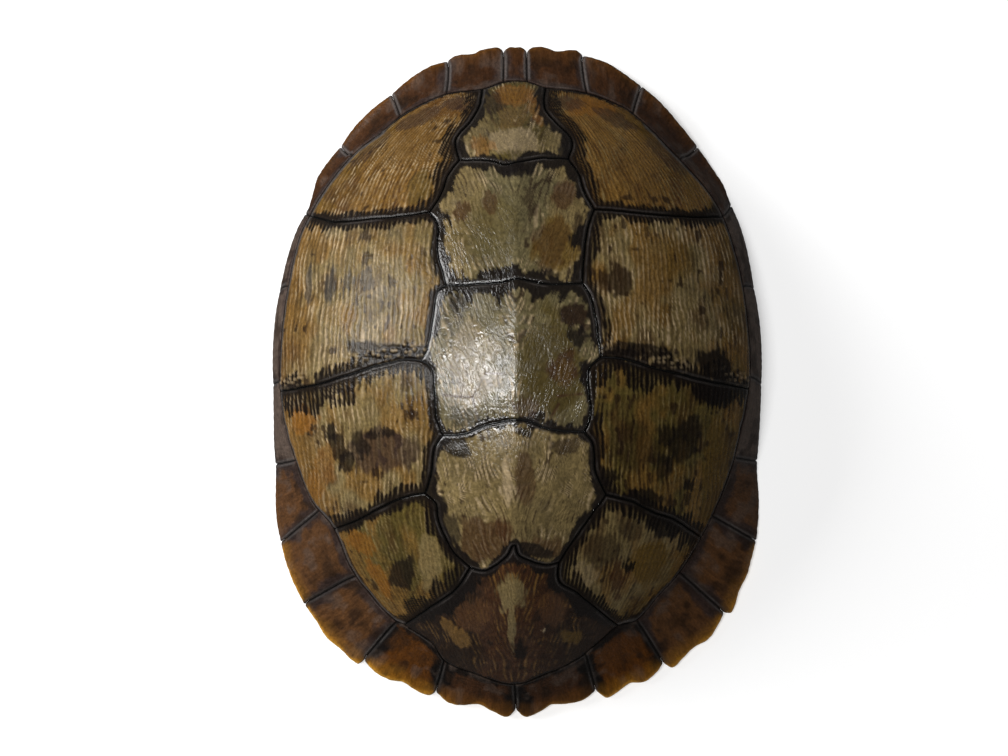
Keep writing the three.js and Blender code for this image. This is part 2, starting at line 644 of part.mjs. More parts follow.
// The backbone, a round bar that follows the roof of the hollow and is partly sunk in it.
function backbone() {
  const [head, tail] = BACKBONE_ENDS;
  const stations = steps(8).map((part) => THREE.MathUtils.lerp(head, tail, part));
  const path = new THREE.CatmullRomCurve3(stations.map((y) => {
    const direction = y < 0 ? 180 : 0;
    const roof = domePoint(direction, Math.abs(y), DOME_BONE_DEPTH + BONE);
    return new THREE.Vector3(0, roof.y, roof.z - BACKBONE_DROP);
  }));
  const section = new THREE.Shape();
  section.absarc(0, 0, BACKBONE_RADIUS, 0, 2 * Math.PI);
  return new THREE.ExtrudeGeometry(section, {
    extrudePath: path,
    steps: 12,
    curveSegments: 5,
    bevelEnabled: false,
  });
}

function boneCarapace() {
  return fromManifold(toManifold(boneBody()).add(toManifold(backbone())).subtract(SAWN_OFF));
}

// ---- assembly -----------------------------------------------------------------------------

const shell = new THREE.Group();
shell.position.set(...PLAN_PLACE, 0);

function place(name, geometry, colour, roughness) {
  const material = new THREE.MeshStandardMaterial({ color: colour, roughness, metalness: 0 });
  geometry.computeVertexNormals();
  const mesh = new THREE.Mesh(geometry, material);
  mesh.name = name;
  shell.add(mesh);
}

const COLOUR = { bone: 0xcdbf9c, vertebral: 0x7a6f4a, costal: 0x75592c, marginal: 0x57412b };
const HORN_ROUGHNESS = 0.4;
const BONE_ROUGHNESS = 0.8;

place("bone_carapace", boneCarapace(), COLOUR.bone, BONE_ROUGHNESS);

const beside = { left: seamsBeside("left"), right: seamsBeside("right") };
vertebralScutes(beside).forEach((geometry, i) => {
  place(`vertebral_${i + 1}`, geometry, COLOUR.vertebral, HORN_ROUGHNESS);
});
for (const side of ["left", "right"]) {
  costalScutes(side, beside[side]).forEach((geometry, i) => {
    place(`costal_${side}_${i + 1}`, geometry, COLOUR.costal, HORN_ROUGHNESS);
  });
}

const nuchal = marginalScute(RIM_NUCHAL, CROSS_LEFT[0], CROSS_RIGHT[0]);
place("nuchal", nuchal, COLOUR.marginal, HORN_ROUGHNESS);
marginalScutes(RIM_LEFT, CROSS_LEFT, false).forEach((geometry, i) => {
  place(`marginal_left_${i + 1}`, geometry, COLOUR.marginal, HORN_ROUGHNESS);
});
marginalScutes(RIM_RIGHT, CROSS_RIGHT, true).forEach((geometry, i) => {
  place(`marginal_right_${i + 1}`, geometry, COLOUR.marginal, HORN_ROUGHNESS);
});

export default shell;
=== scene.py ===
"""The upper shell of a pond turtle, seen from straight above.

38 horny scutes with their ridges, seams and markings lie over one fused dome of bone.
Lengths are millimetres until the meshes are made, and directions are degrees clockwise from the
head end, as seen from above. The plan's own zero lies on the midline.
"""

import math

import bmesh
import bpy
import numpy as np
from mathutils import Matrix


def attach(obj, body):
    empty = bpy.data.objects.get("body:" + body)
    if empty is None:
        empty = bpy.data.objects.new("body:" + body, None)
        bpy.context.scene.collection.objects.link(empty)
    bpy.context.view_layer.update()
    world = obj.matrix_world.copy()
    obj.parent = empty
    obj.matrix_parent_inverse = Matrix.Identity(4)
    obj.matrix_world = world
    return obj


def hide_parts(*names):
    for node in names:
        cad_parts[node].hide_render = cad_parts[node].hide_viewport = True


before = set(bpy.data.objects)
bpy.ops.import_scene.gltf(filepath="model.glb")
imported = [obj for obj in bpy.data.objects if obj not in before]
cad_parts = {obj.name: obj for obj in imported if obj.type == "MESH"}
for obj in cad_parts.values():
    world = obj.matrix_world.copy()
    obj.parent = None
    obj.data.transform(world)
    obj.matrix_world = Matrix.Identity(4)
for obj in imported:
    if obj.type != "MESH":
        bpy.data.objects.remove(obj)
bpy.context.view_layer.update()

# ---- driving dimensions ---------------------------------------------------------------------

APEX_HEIGHT = 80.0
KERATIN = 1.0
GAP = 0.34  # between the edges of neighbouring scutes
CROSS_GAP = 0.05  # between neighbouring marginals
BONE = 4.0
BONE_DEPTH = KERATIN + 0.35  # of the bone's outer face below that of the scutes
PLAN_PLACE = np.array([-1.1, 0.9, 0.0])  # moves the plan's zero to the frame's origin
KEEL_HEIGHT = 1.4
KEEL_WIDTH = 8.0
KEEL_ROUNDING = 0.8
KEEL_REACH = 104  # the keel ends this far before and behind the apex
SEAM_CLEARANCE = 0.014  # part of the skirt that stays free beside the marginal seam
STEEP = 0.5  # least flatness of the rim when it is drawn out to its lobes
HOLLOW_REACH = 0.93  # where the hollow's roof ends, as a part of the marginal seam's radius
HOLLOW_WALL = 0.4  # where its wall meets the skirt, as a part of the skirt
MILLIMETRE = 0.001

FINE = 0.42  # spacing of the points on the outer faces
COARSE = 4  # hidden faces have one point for this many on the outer ones

# The profile changes round the shell: [degrees from the head end, value], alike on both sides.
DOME_RADIUS = [[0, 107.5], [15, 106], [30, 102], [45, 97], [60, 91], [75, 86.5], [90, 84.5],
               [105, 84], [120, 84.5], [135, 88.5], [150, 95], [165, 103], [180, 109]]
DOME_FOOT = [[0, 24], [30, 25], [60, 27], [90, 27], [120, 25], [150, 21], [180, 19]]
RIM_HEIGHT = [[0, 12], [25, 10], [37, 6], [45, 1.5], [52, -3], [60, -4], [104, -4], [110, -3],
              [116, 0], [124, 3.2], [135, 3.8], [150, 4.2], [180, 5]]
RIM_SLOPE = [[0, 26], [35, 36], [58, 80], [105, 82], [130, 42], [150, 26], [180, 34]]
WRAP = [[0, 8], [37, 6], [45, 2], [52, 0.5], [116, 0.5], [124, 3], [132, 7], [180, 8]]
SHELF = [[0, 2], [45, 3], [60, 6], [104, 6], [125, 3], [180, 2]]
RIM_RADIUS = [[0, 2.7], [42, 2.7], [56, 4.2], [108, 4.2], [122, 2.7], [180, 2.7]]
EDGE_MARGIN = [[0, 1], [37, 1], [52, 0.3], [60, 0], [104, 0], [112, 0.3], [125, 1], [180, 1]]
DOME_REACH = [[0, 1.7], [40, 1.25], [70, 1.06], [110, 1.06], [145, 1.15], [180, 1.35]]
DOME_POWER = 2.25

# Seam between the dome scutes and the marginals, from the tail round by the left and the head.
MARGINAL_SEAM = [
    [0, -109.5], [-14.5, -105.5], [-25.5, -101], [-29.5, -93.5], [-39.5, -87], [-43, -86],
    [-53, -75], [-58, -68], [-64, -52], [-72.5, -42.5], [-78, -28], [-81, -18.5], [-83.5, -3.5],
    [-83, 12.5], [-80, 36], [-76.5, 52.5], [-73, 59.5], [-67, 69.5], [-55.5, 83], [-48, 88.5],
    [-41, 95], [-33, 99.5], [-24.5, 103], [-11.5, 104.5], [-4, 107.5], [4.5, 107.5], [11, 105],
    [23, 104], [32.5, 101.5], [41.5, 97], [48, 91], [57.5, 80.5], [69, 68], [74.5, 59],
    [79, 44.5], [82.5, 22], [83.5, 9.5], [83, -2.5], [80, -16.5], [78, -27], [72, -45.5],
    [67, -56], [60, -68], [51.5, -77], [44, -86], [37, -87], [32, -91], [22, -100],
    [10.5, -105.5],
]



def linked(lines):
    """Starts each line at the end of the one before."""
    return [[*lines[i - 1][-1:], *line] if i else line for i, line in enumerate(lines)]


# Outer edge of each marginal, and where its cross seams meet the marginal seam, head to tail.
RIM_LEFT = linked([
    [[-4, 120.5], [-6, 122], [-12, 121], [-15, 119.5], [-21.5, 119], [-24.5, 117]],
    [[-30, 115.5], [-37, 111.5], [-45, 105]],
    [[-53.5, 98.5], [-60, 92], [-64, 86.5]],
    [[-71.5, 78], [-76.5, 70.5], [-78.5, 62]],
    [[-83.5, 51], [-86, 41], [-87.5, 31]],
    [[-88.3, 20], [-89, 9], [-89.5, -2]],
    [[-90, -12], [-90, -22], [-89.5, -31]],
    [[-89.2, -40], [-88.5, -48.5], [-86.5, -59.5]],
    [[-84.5, -66.5], [-81, -75.5], [-78.5, -80.5], [-77.5, -82.5]],
    [[-73.5, -88], [-69.5, -94.5], [-64, -99], [-58, -104.5], [-55.5, -103]],
    [[-52, -107], [-46.5, -110], [-41, -111], [-36.5, -114], [-31.5, -116], [-29, -114.5]],
    [[-24.5, -118.5], [-19.5, -119.5], [-13, -119], [-8.5, -121.5], [-2.5, -124], [0.5, -121]],
])
RIM_RIGHT = linked([
    [[4.5, 120.5], [6.5, 122], [11, 122], [15, 120.5], [22.5, 121], [25, 119]],
    [[33.5, 116.5], [40, 112.5], [46.5, 108]],
    [[52, 103.5], [60, 95], [67.5, 86.5]],
    [[73, 79], [78, 72.5], [81.5, 66]],
    [[85, 56.5], [88.5, 46], [89.5, 34]],
    [[90.5, 22], [91.3, 10], [92, -2]],
    [[92, -12], [91.5, -21], [91, -29.5]],
    [[91, -40], [90.5, -49.5], [89.5, -59]],
    [[87.5, -66], [86, -71.5], [83, -77.5], [80.5, -85.5], [77.5, -85.5]],
    [[75, -90.5], [71.5, -95.5], [66.5, -98], [62, -102.5], [58.5, -106], [55, -104]],
    [[52.5, -107.5], [48, -111], [42.5, -111.5], [38, -115], [34, -117], [30, -114]],
    [[25.5, -117.5], [18.5, -119], [13.5, -119], [10, -121.5], [4, -124], [0.5, -121]],
])
RIM_NUCHAL = [[-4, 120.5], [-2, 122], [0.3, 122], [2.5, 122], [4.5, 120.5]]
CROSS_LEFT = [[-4, 108], [-24.5, 103.5], [-41, 95], [-58, 81], [-73, 59], [-80, 34], [-83.5, 0],
              [-78, -28], [-70, -46], [-57, -70], [-42.5, -86.5], [-25.5, -101], [0, -109.5]]
CROSS_RIGHT = [[4.5, 108], [26, 104], [42.5, 96.5], [59, 79.5], [74.5, 59], [81, 34], [83.5, 2],
               [78, -27], [70.5, -48], [59.5, -69], [44, -86], [25.5, -98], [0, -109.5]]

# Corners where dome scutes meet, and points that the seams pass between them.
INNER_CORNER = {
    "left": {"v1v2": [-19, 75.5], "v2c1c2": [-29, 57], "v2v3": [-23, 32], "v3c2c3": [-31, 7],
             "v3v4": [-24, -17.5], "v4c3c4": [-30, -37], "v4v5": [-15, -62.5]},
    "right": {"v1v2": [18, 76], "v2c1c2": [26.5, 58], "v2v3": [22, 32.5], "v3c2c3": [28, 8],
              "v3v4": [22.5, -16.5], "v4c3c4": [30, -37.5], "v4v5": [14.5, -60.5]},
}
OUTER_CORNER = {
    "left": {"head": [-11.5, 104], "shoulder": [-48, 88.5], "c1c2": [-73, 59],
             "c2c3": [-83, -3.5], "c3c4": [-64, -52], "c4v5": [-39.5, -87]},
    "right": {"head": [11, 104.5], "shoulder": [48, 91], "c1c2": [74.5, 59],
              "c2c3": [83, -2.5], "c3c4": [67, -56], "c4v5": [37, -87]},
}
ACROSS = {
    "v1v2": [[-9.5, 75], [-3.5, 73], [1.5, 74], [10, 76]],
    "v2v3": [[-13.5, 32], [-5, 32.5], [1.5, 33.5], [11, 32]],
    "v3v4": [[-16.5, -17], [-9, -14], [-0.5, -12.3], [5, -13], [11, -15.5]],
    "v4v5": [[-9.5, -63], [-3.5, -58.5], [-0.5, -53.5], [1.5, -57.5], [9.5, -61]],
}
BESIDE = {
    "left": {
        "v1": [[-12.5, 97], [-15.5, 91], [-20.5, 83.5]],
        "v2front": [[-23, 70], [-25, 63.5]],
        "v2rear": [[-26, 52.5], [-26, 43.5], [-24.5, 37.5]],
        "v3front": [[-26, 29], [-27.5, 20], [-29, 11]],
        "v3rear": [[-27.5, 4], [-26.5, -6.5], [-26, -12]],
        "v4front": [[-27, -22.5], [-28, -31]],
        "v4rear": [[-26.5, -40.5], [-25.5, -47], [-21.5, -56]],
        "v5": [[-20, -70.5], [-29.5, -78.5]],
    },
    "right": {
        "v1": [[10.5, 96], [14.5, 90], [19.5, 83.5]],
        "v2front": [[21.5, 70.5], [23, 65]],
        "v2rear": [[24, 51], [22.5, 40.5]],
        "v3front": [[24.5, 28.5], [26, 22.5], [27, 16]],
        "v3rear": [[24, 4], [24, -3.5], [24.5, -11]],
        "v4front": [[25.5, -20.5], [26.5, -30]],
        "v4rear": [[24, -46], [20, -52]],
        "v5": [[15, -67.5], [22, -73], [31, -81.5]],
    },
}
OUTWARDS = {
    "left": {
        "c1c2": [[-37.5, 56], [-49.5, 55.5], [-62.5, 55.5]],
        "c2c3": [[-36.5, 7.5], [-43.5, 6], [-52, 3.5], [-60.5, 1], [-70.5, -1.5]],
        "c3c4": [[-37, -38.5], [-44.5, -42], [-53, -47]],
    },
    "right": {
        "c1c2": [[39, 57.5], [51.5, 57], [64.5, 57.5]],
        "c2c3": [[32, 8], [38, 7], [45, 5], [51.5, 3.5], [64.5, 0.5]],
        "c3c4": [[38.5, -40], [47.5, -44.5], [55.5, -48]],
    },
}

# ---- curves ---------------------------------------------------------------------------------

SPLINE_STEPS = 24  # from each given point to the next
SEAM_STEPS = 160  # along one scute's stretch of the marginal seam


def smooth_table(rows):
    """A smooth function through [x, y] rows."""
    x, y = np.array(rows, float).T
    slope = np.empty_like(y)
    slope[1:-1] = (y[2:] - y[:-2]) / (x[2:] - x[:-2])
    slope[0] = (y[1] - y[0]) / (x[1] - x[0])
    slope[-1] = (y[-1] - y[-2]) / (x[-1] - x[-2])

    def value(at):
        i = np.clip(np.searchsorted(x, at) - 1, 0, len(x) - 2)
        width = x[i + 1] - x[i]
        t = (at - x[i]) / width
        rise = (y[i + 1] - y[i]) * t * t * (3 - 2 * t)
        lean = width * t * (1 - t) * (slope[i] * (1 - t) - slope[i + 1] * t)
        return y[i] + rise + lean

    return value


def direction_of(points):
    points = np.asarray(points, float)
    return np.degrees(np.arctan2(points[..., 0], points[..., 1]))


def near(direction, other):
    """The same direction, less than half a turn from another one."""
    return direction - 360 * np.round((direction - other) / 360)


def around(outline):
    """The radius of a closed outline in plan, as a smooth function of direction."""
    points = np.array(outline, float)
    rows = np.column_stack([direction_of(points), np.hypot(*points.T)])
    rows = rows[np.argsort(rows[:, 0])]
    before = rows[-2:] - [360, 0]
    after = rows[:2] + [360, 0]
    value = smooth_table(np.vstack([before, rows, after]))
    return lambda direction: value(near(direction, 0))


def both_sides(rows):
    before = [-rows[1][0], rows[1][1]]
    after = [360 - rows[-2][0], rows[-2][1]]
    value = smooth_table([before, *rows, after])
    return lambda direction: value(np.abs(near(direction, 0)))


seam_radius = around(MARGINAL_SEAM)
notch_radius = around([edge[0] for edge in RIM_LEFT + RIM_RIGHT] + [RIM_LEFT[-1][-1]])
dome_radius = both_sides(DOME_RADIUS)
dome_foot = both_sides(DOME_FOOT)
rim_height = both_sides(RIM_HEIGHT)
rim_slope = both_sides(RIM_SLOPE)
wrap_length = both_sides(WRAP)
shelf_length = both_sides(SHELF)
edge_radius = both_sides(RIM_RADIUS)
edge_margin = both_sides(EDGE_MARGIN)
dome_reach = both_sides(DOME_REACH)


def steps(count):
    """The ends of so many equal steps from 0 to 1."""
    return np.linspace(0, 1, count + 1)[1:]


def resample(points, count):
    """Evenly spaced points along a polyline."""
    lengths = np.hypot(*np.diff(points, axis=0).T)
    along = np.concatenate([[0], np.cumsum(lengths)])
    at = np.linspace(0, along[-1], count + 1)
    return np.column_stack([np.interp(at, along, points[:, k]) for k in (0, 1)])


def spline(points):
    """A Catmull-Rom curve through the points."""
    p = np.array(points, float)
    p = np.vstack([p[:1], p, p[-1:]])
    t = np.linspace(0, 1, SPLINE_STEPS, endpoint=False)[:, None]
    pieces = []
    for a, b, c, d in zip(p[:-3], p[1:-2], p[2:-1], p[3:]):
        lean_b = (c - a) / 2
        lean_c = (d - b) / 2
        pieces.append(b + lean_b * t + (3 * (c - b) - 2 * lean_b - lean_c) * t**2
                      + (2 * (b - c) + lean_b + lean_c) * t**3)
    return np.vstack([*pieces, p[-1:]])


# ---- noise ----------------------------------------------------------------------------------

BEAD_RADIUS = 0.55
BEAD_SCATTER = 0.38


def lattice(ix, iy, seed):
    """A value from -1 to 1 for each cell of a grid, the same in every run."""
    n = ix.astype(np.int64) * 374761393 + iy.astype(np.int64) * 668265263 + seed * 974634777
    n &= 0xFFFFFFFF
    n = ((n ^ (n >> 13)) * 1274126177) & 0xFFFFFFFF
    n ^= n >> 16
    return (n & 0xFFFF) / 32767.5 - 1


def noise(x, y, seed):
    """Smooth noise from -1 to 1 with a wavelength of about 1."""
    ix = np.floor(x)
    iy = np.floor(y)
    fx = x - ix
    fy = y - iy
    fx = fx * fx * (3 - 2 * fx)
    fy = fy * fy * (3 - 2 * fy)
    near_row = lattice(ix, iy, seed) * (1 - fx) + lattice(ix + 1, iy, seed) * fx
    far_row = lattice(ix, iy + 1, seed) * (1 - fx) + lattice(ix + 1, iy + 1, seed) * fx
    return near_row * (1 - fy) + far_row * fy


def rough(x, y, octaves, seed):
    """Noise with finer and finer detail, from about -1 to 1."""
    total = 0
    for k in range(octaves):
        total = total + noise(x * 2**k, y * 2**k, seed + 17 * k) / 2**k
    return total / 1.5


def beads(x, y, seed):
    """The height of round beads that are scattered about 1 apart."""
    ix = np.floor(x)
    iy = np.floor(y)
    nearest = np.full(np.shape(x), 9.0)
    for dx in (-1, 0, 1):
        for dy in (-1, 0, 1):
            cx = ix + dx + 0.5 + BEAD_SCATTER * lattice(ix + dx, iy + dy, seed)
            cy = iy + dy + 0.5 + BEAD_SCATTER * lattice(ix + dx, iy + dy, seed + 5)
            nearest = np.minimum(nearest, np.hypot(x - cx, y - cy))
    return np.clip(1 - (nearest / BEAD_RADIUS) ** 2, 0, 1)


def fade(low, high, x):
    """From 0 at low to 1 at high, smoothly."""
    t = np.clip((x - low) / (high - low), 0, 1)
    return t * t * (3 - 2 * t)


def bump(x, width):
    return np.exp(-((x / width) ** 2))


# ---- the shell's faces ----------------------------------------------------------------------

SKIRT_HANDLE = 0.35  # length of the handles of the skirt's curve, as a part of its length


def pair(x, y):
    return np.stack(np.broadcast_arrays(x, y), axis=-1).astype(float)


def unit(v):
    return v / np.linalg.norm(v, axis=-1, keepdims=True)


def quarter_turn(v):
    return np.stack([-v[..., 1], v[..., 0]], axis=-1)


def in_space(direction, profile):
    """A point of the profile, [out, up], in a direction round the shell."""
    angle = np.radians(direction)
    out = profile[..., 0]
    return np.stack([out * np.sin(angle), out * np.cos(angle), profile[..., 1]], axis=-1)


def dome_profile(direction, distance):
    radius = dome_radius(direction)
    reach = dome_reach(direction)
    low = dome_foot(direction)
    part = distance / radius

    def oval(at):
        return np.sqrt(1 - (at / reach) ** DOME_POWER)

    scale = (APEX_HEIGHT - low) / (1 - oval(1))
    up = low + scale * (oval(part) - oval(1))
    fall = scale * DOME_POWER * (part / reach) ** (DOME_POWER - 1) / (2 * reach * oval(part))
    return pair(distance, up), unit(pair(radius, -fall))


def dome_point(direction, distance, height):
    """A point over the dome's smooth outer face, by its height along the profile's normal."""
    point, downhill = dome_profile(direction, distance)
    return in_space(direction, point + quarter_turn(downhill) * np.asarray(height)[..., None])


def edge_profile(direction, lobe):
    slope = np.radians(rim_slope(direction))
    pointing = pair(np.cos(slope), -np.sin(slope))
    radius = edge_radius(direction)
    smooth = notch_radius(direction) - edge_margin(direction)
    middle = pair(smooth - radius, rim_height(direction))
    stretch = np.maximum(lobe - smooth, 0) / np.maximum(pointing[..., 0], STEEP)
    return middle, pointing, radius, stretch


def round_edge(middle, pointing, reach, turn):
    """A point on the round edge, half a turn from above to below, and the way it faces."""
    way = quarter_turn(pointing) * np.cos(turn) + pointing * np.sin(turn)
    return middle + way * reach, way


def skirt_profile(direction, part, depth):
    """The marginal skirt, from 0 at its seam to 1 where the lobes start: points and normals."""
    seam, downhill = dome_profile(direction, seam_radius(direction))
    middle, pointing, radius, _ = edge_profile(direction, 0)
    start = seam - quarter_turn(downhill) * np.asarray(depth)[..., None]
    end = middle + quarter_turn(pointing) * (radius - depth)[..., None]
    handle = np.linalg.norm(end - start, axis=-1, keepdims=True) * SKIRT_HANDLE
    second = start + downhill * handle
    third = end - pointing * handle
    t = np.asarray(part)[..., None]
    point = ((1 - t) ** 3 * start + 3 * t * (1 - t) ** 2 * second
             + 3 * t**2 * (1 - t) * third + t**3 * end)
    tangent = ((1 - t) ** 2 * (second - start) + 2 * t * (1 - t) * (third - second)
               + t**2 * (end - third))
    return point, quarter_turn(unit(tangent))


# ---- meshes ---------------------------------------------------------------------------------


class Mesh:
    """Faces between points in millimetres. Each point has a colour, a gloss and its grain."""

    def __init__(self):
        self.points = []
        self.colours = []
        self.glosses = []
        self.grains = []
        self.faces = []
        self.wall_faces = []
        self.count = 0

    def add_points(self, points, colour, gloss, grain):
        """Adds a grid of points and returns their numbers, in the same grid."""
        shape = points.shape[:-1]
        number = self.count + np.arange(np.prod(shape)).reshape(shape)
        self.points.append(points.reshape(-1, 3))
        self.colours.append(np.broadcast_to(colour, (*shape, 3)).reshape(-1, 3))
        self.glosses.append(np.broadcast_to(gloss, shape).ravel())
        self.grains.append(np.broadcast_to(grain, (*shape, 3)).reshape(-1, 3))
        self.count += number.size
        return number

    def add_grid(self, number, flip=False, wrap=False):
        """Faces over a grid of point numbers. Rows run to the right and follow each other down."""
        if wrap:
            number = np.concatenate([number, number[:, :1]], axis=1)
        a, b = number[:-1, :-1], number[:-1, 1:]
        c, d = number[1:, 1:], number[1:, :-1]
        quads = np.stack([a, d, c, b] if not flip else [a, b, c, d], axis=-1).reshape(-1, 4)
        self.faces.extend(quads.tolist())

    def add_wall(self, fine, coarse):
        """A wall from a fine line of points to a coarse one that keeps each COARSE-th point."""
        for i in range(len(coarse) - 1):
            upper = fine[COARSE * i:COARSE * (i + 1) + 1]
            self.wall_faces.append([*upper.tolist(), int(coarse[i + 1]), int(coarse[i])])

    def close(self, top, under):
        """Faces over an outer grid and over a coarser one below it, and walls round both."""
        self.add_grid(top)
        self.add_grid(under, flip=True)
        self.add_wall(top[0, ::-1], under[0, ::-1])
        self.add_wall(top[-1], under[-1])
        self.add_wall(top[:, 0], under[:, 0])
        self.add_wall(top[::-1, -1], under[::-1, -1])

    def build(self, name):
        points = (np.vstack(self.points) + PLAN_PLACE) * MILLIMETRE
        mesh = bpy.data.meshes.new(name)
        mesh.from_pydata(points.tolist(), [], self.faces + self.wall_faces)
        smooth = np.zeros(len(mesh.polygons), bool)
        smooth[:len(self.faces)] = True
        mesh.polygons.foreach_set("use_smooth", smooth)
        colour = np.column_stack([np.vstack(self.colours), np.ones(self.count)])
        layer = mesh.color_attributes.new("colour", "FLOAT_COLOR", "POINT")
        layer.data.foreach_set("color", colour.astype(np.float32).ravel())
        layer = mesh.attributes.new("gloss", "FLOAT", "POINT")
        layer.data.foreach_set("value", np.concatenate(self.glosses).astype(np.float32))
        layer = mesh.attributes.new("grain", "FLOAT_VECTOR", "POINT")
        layer.data.foreach_set("vector", np.vstack(self.grains).astype(np.float32).ravel())
        return mesh


def saw_flat(mesh):
    """Cuts a mesh off at the plane that the shell lies on."""
    work = bmesh.new()
    work.from_mesh(mesh)
    everything = [*work.verts, *work.edges, *work.faces]
    bmesh.ops.bisect_plane(work, geom=everything, dist=1e-6, plane_co=(0, 0, 0),
                           plane_no=(0, 0, 1), clear_inner=True)
    open_edges = [edge for edge in work.edges if edge.is_boundary]
    filled = bmesh.ops.holes_fill(work, edges=open_edges, sides=0)
    for face in filled["faces"]:
        face.smooth = False
    work.to_mesh(mesh)
    work.free()


def show(name, mesh, material):
    piece = bpy.data.objects.new(f"{name}_shown", mesh)
    bpy.context.scene.collection.objects.link(piece)
    mesh.materials.append(material)
    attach(piece, "root")
    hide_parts(name)


# ---- colours --------------------------------------------------------------------------------


def srgb(red, green, blue):
    """A colour from its screen values of 0 to 255."""
    value = np.array([red, green, blue]) / 255
    return np.where(value <= 0.04045, value / 12.92, ((value + 0.055) / 1.055) ** 2.4)


SEAM_BLACK = srgb(7, 7, 7)
LIP_BLACK = srgb(22, 20, 20)
# the pale grey of the painted highlights on the lips beside the seams
LIP_HIGHLIGHT = srgb(84, 80, 78)
FRINGE = srgb(18, 14, 12)
DARK_BROWN = srgb(32, 21, 13)
RED_BROWN = srgb(52, 31, 16)
ORANGE = srgb(106, 66, 16)
AMBER = srgb(68, 38, 9)
CHESTNUT = srgb(68, 44, 24)
GOLD = srgb(92, 67, 30)
OCHRE = srgb(78, 58, 17)
OLIVE = srgb(66, 56, 26)
OLIVE_TAN = srgb(96, 82, 52)
GREY_OLIVE = srgb(80, 72, 48)
CREAM = srgb(140, 122, 94)
GREY_BROWN = srgb(72, 60, 52)
PURPLE_BROWN = srgb(44, 33, 29)
SLATE = srgb(40, 42, 44)
RIM_YELLOW = srgb(150, 102, 26)
EDGE_YELLOW = srgb(236, 190, 84)
GROWTH_RED = srgb(50, 28, 20)
BONE_CREAM = srgb(206, 188, 150)
BONE_STAIN = srgb(132, 98, 60)
BONE_DARK = srgb(74, 52, 34)

# Gloss is stored as roughness, and the least is the shiniest.
TOP_GLOSS = 0.19
RIM_GLOSS = 0.38
UNDER_GLOSS = 0.6
BONE_GLOSS = 0.7


def mix(colour, other, part):
    part = np.clip(part, 0, 1)[..., None]
    return colour * (1 - part) + other * part


def shade(colour, factor):
    return colour * np.clip(factor, 0.05, 3)[..., None]


# ---- scutes of the dome ---------------------------------------------------------------------


def on_seam(directions):
    radius = seam_radius(directions)
    angle = np.radians(directions)
    return np.column_stack([radius * np.sin(angle), radius * np.cos(angle)])


def marginal_stretch(start, end):
    first = direction_of(start)
    last = near(direction_of(end), first)
    return on_seam(np.linspace(first, last, SEAM_STEPS))


def corners_of(side):
    outer = {name: on_seam(direction_of(np.array([point])))[0]
             for name, point in OUTER_CORNER[side].items()}
    return {**INNER_CORNER[side], **outer}


CORNER = {side: corners_of(side) for side in ("left", "right")}


BESIDE_CORNERS = ["head", "v1v2", "v2c1c2", "v2v3", "v3c2c3", "v3v4", "v4c3c4", "v4v5", "c4v5"]


def seams_beside(side):
    """The seams beside the vertebrals, from head to tail."""
    corner = CORNER[side]
    ends = zip(BESIDE_CORNERS, BESIDE_CORNERS[1:])
    return {name: spline([corner[start], *points, corner[end]])
            for (name, points), (start, end) in zip(BESIDE[side].items(), ends)}


BESIDE_SEAM = {side: seams_beside(side) for side in ("left", "right")}


def joined(*lines):
    return np.vstack([lines[0], *[line[1:] for line in lines[1:]]])


def vertebral_sides():
    left, right = CORNER["left"], CORNER["right"]
    across = [marginal_stretch(left["head"], right["head"])]
    across += [spline([left[name], *points, right[name]]) for name, points in ACROSS.items()]
    across.append(marginal_stretch(left["c4v5"], right["c4v5"]))
    parts = [["v1"], ["v2front", "v2rear"], ["v3front", "v3rear"], ["v4front", "v4rear"], ["v5"]]
    beside = [{side: joined(*[BESIDE_SEAM[side][name] for name in names])
               for side in ("left", "right")} for names in parts]
    return [{"front": front, "rear": rear, **sides}
            for front, rear, sides in zip(across, across[1:], beside)]


def costal_sides(side):
    """The four costals of one side, from head to tail."""
    corners = CORNER[side]
    beside = BESIDE_SEAM[side]

    def outwards(name, inner):
        return spline([corners[inner], *OUTWARDS[side][name], corners[name]])

    fronts = [marginal_stretch(corners["head"], corners["shoulder"]), outwards("c1c2", "v2c1c2"),
              outwards("c2c3", "v3c2c3"), outwards("c3c4", "v4c3c4")]
    rears = [*fronts[1:], beside["v5"]]
    inners = [joined(beside["v1"], beside["v2front"]), joined(beside["v2rear"], beside["v3front"]),
              joined(beside["v3rear"], beside["v4front"]), beside["v4rear"]]
    outer_corners = ["shoulder", "c1c2", "c2c3", "c3c4", "c4v5"]
    outers = [marginal_stretch(corners[a], corners[b])
              for a, b in zip(outer_corners, outer_corners[1:])]
    way = -1 if side == "left" else 1
    lefts, rights = (inners, outers)[::way]
    return [{"front": front[::way], "rear": rear[::way], "left": left, "right": right}
            for front, rear, left, right in zip(fronts, rears, lefts, rights)]


def length_of(line):
    return np.hypot(*np.diff(line, axis=0).T).sum()


def stepped(length):
    """How many fine steps a length takes, as a whole number of coarse ones."""
    return COARSE * math.ceil(length / FINE / COARSE)


RAGGED = 0.22  # how uneven the seams are
SHARPEST = 0.4  # keeps a sharp corner from being set in too far


def ragged(points):
    """Makes a seam slightly uneven. Both scutes beside it get the same line."""
    x, y = points.T / 4
    return points + RAGGED * np.column_stack([rough(x, y, 2, 3), rough(x, y, 2, 4)])


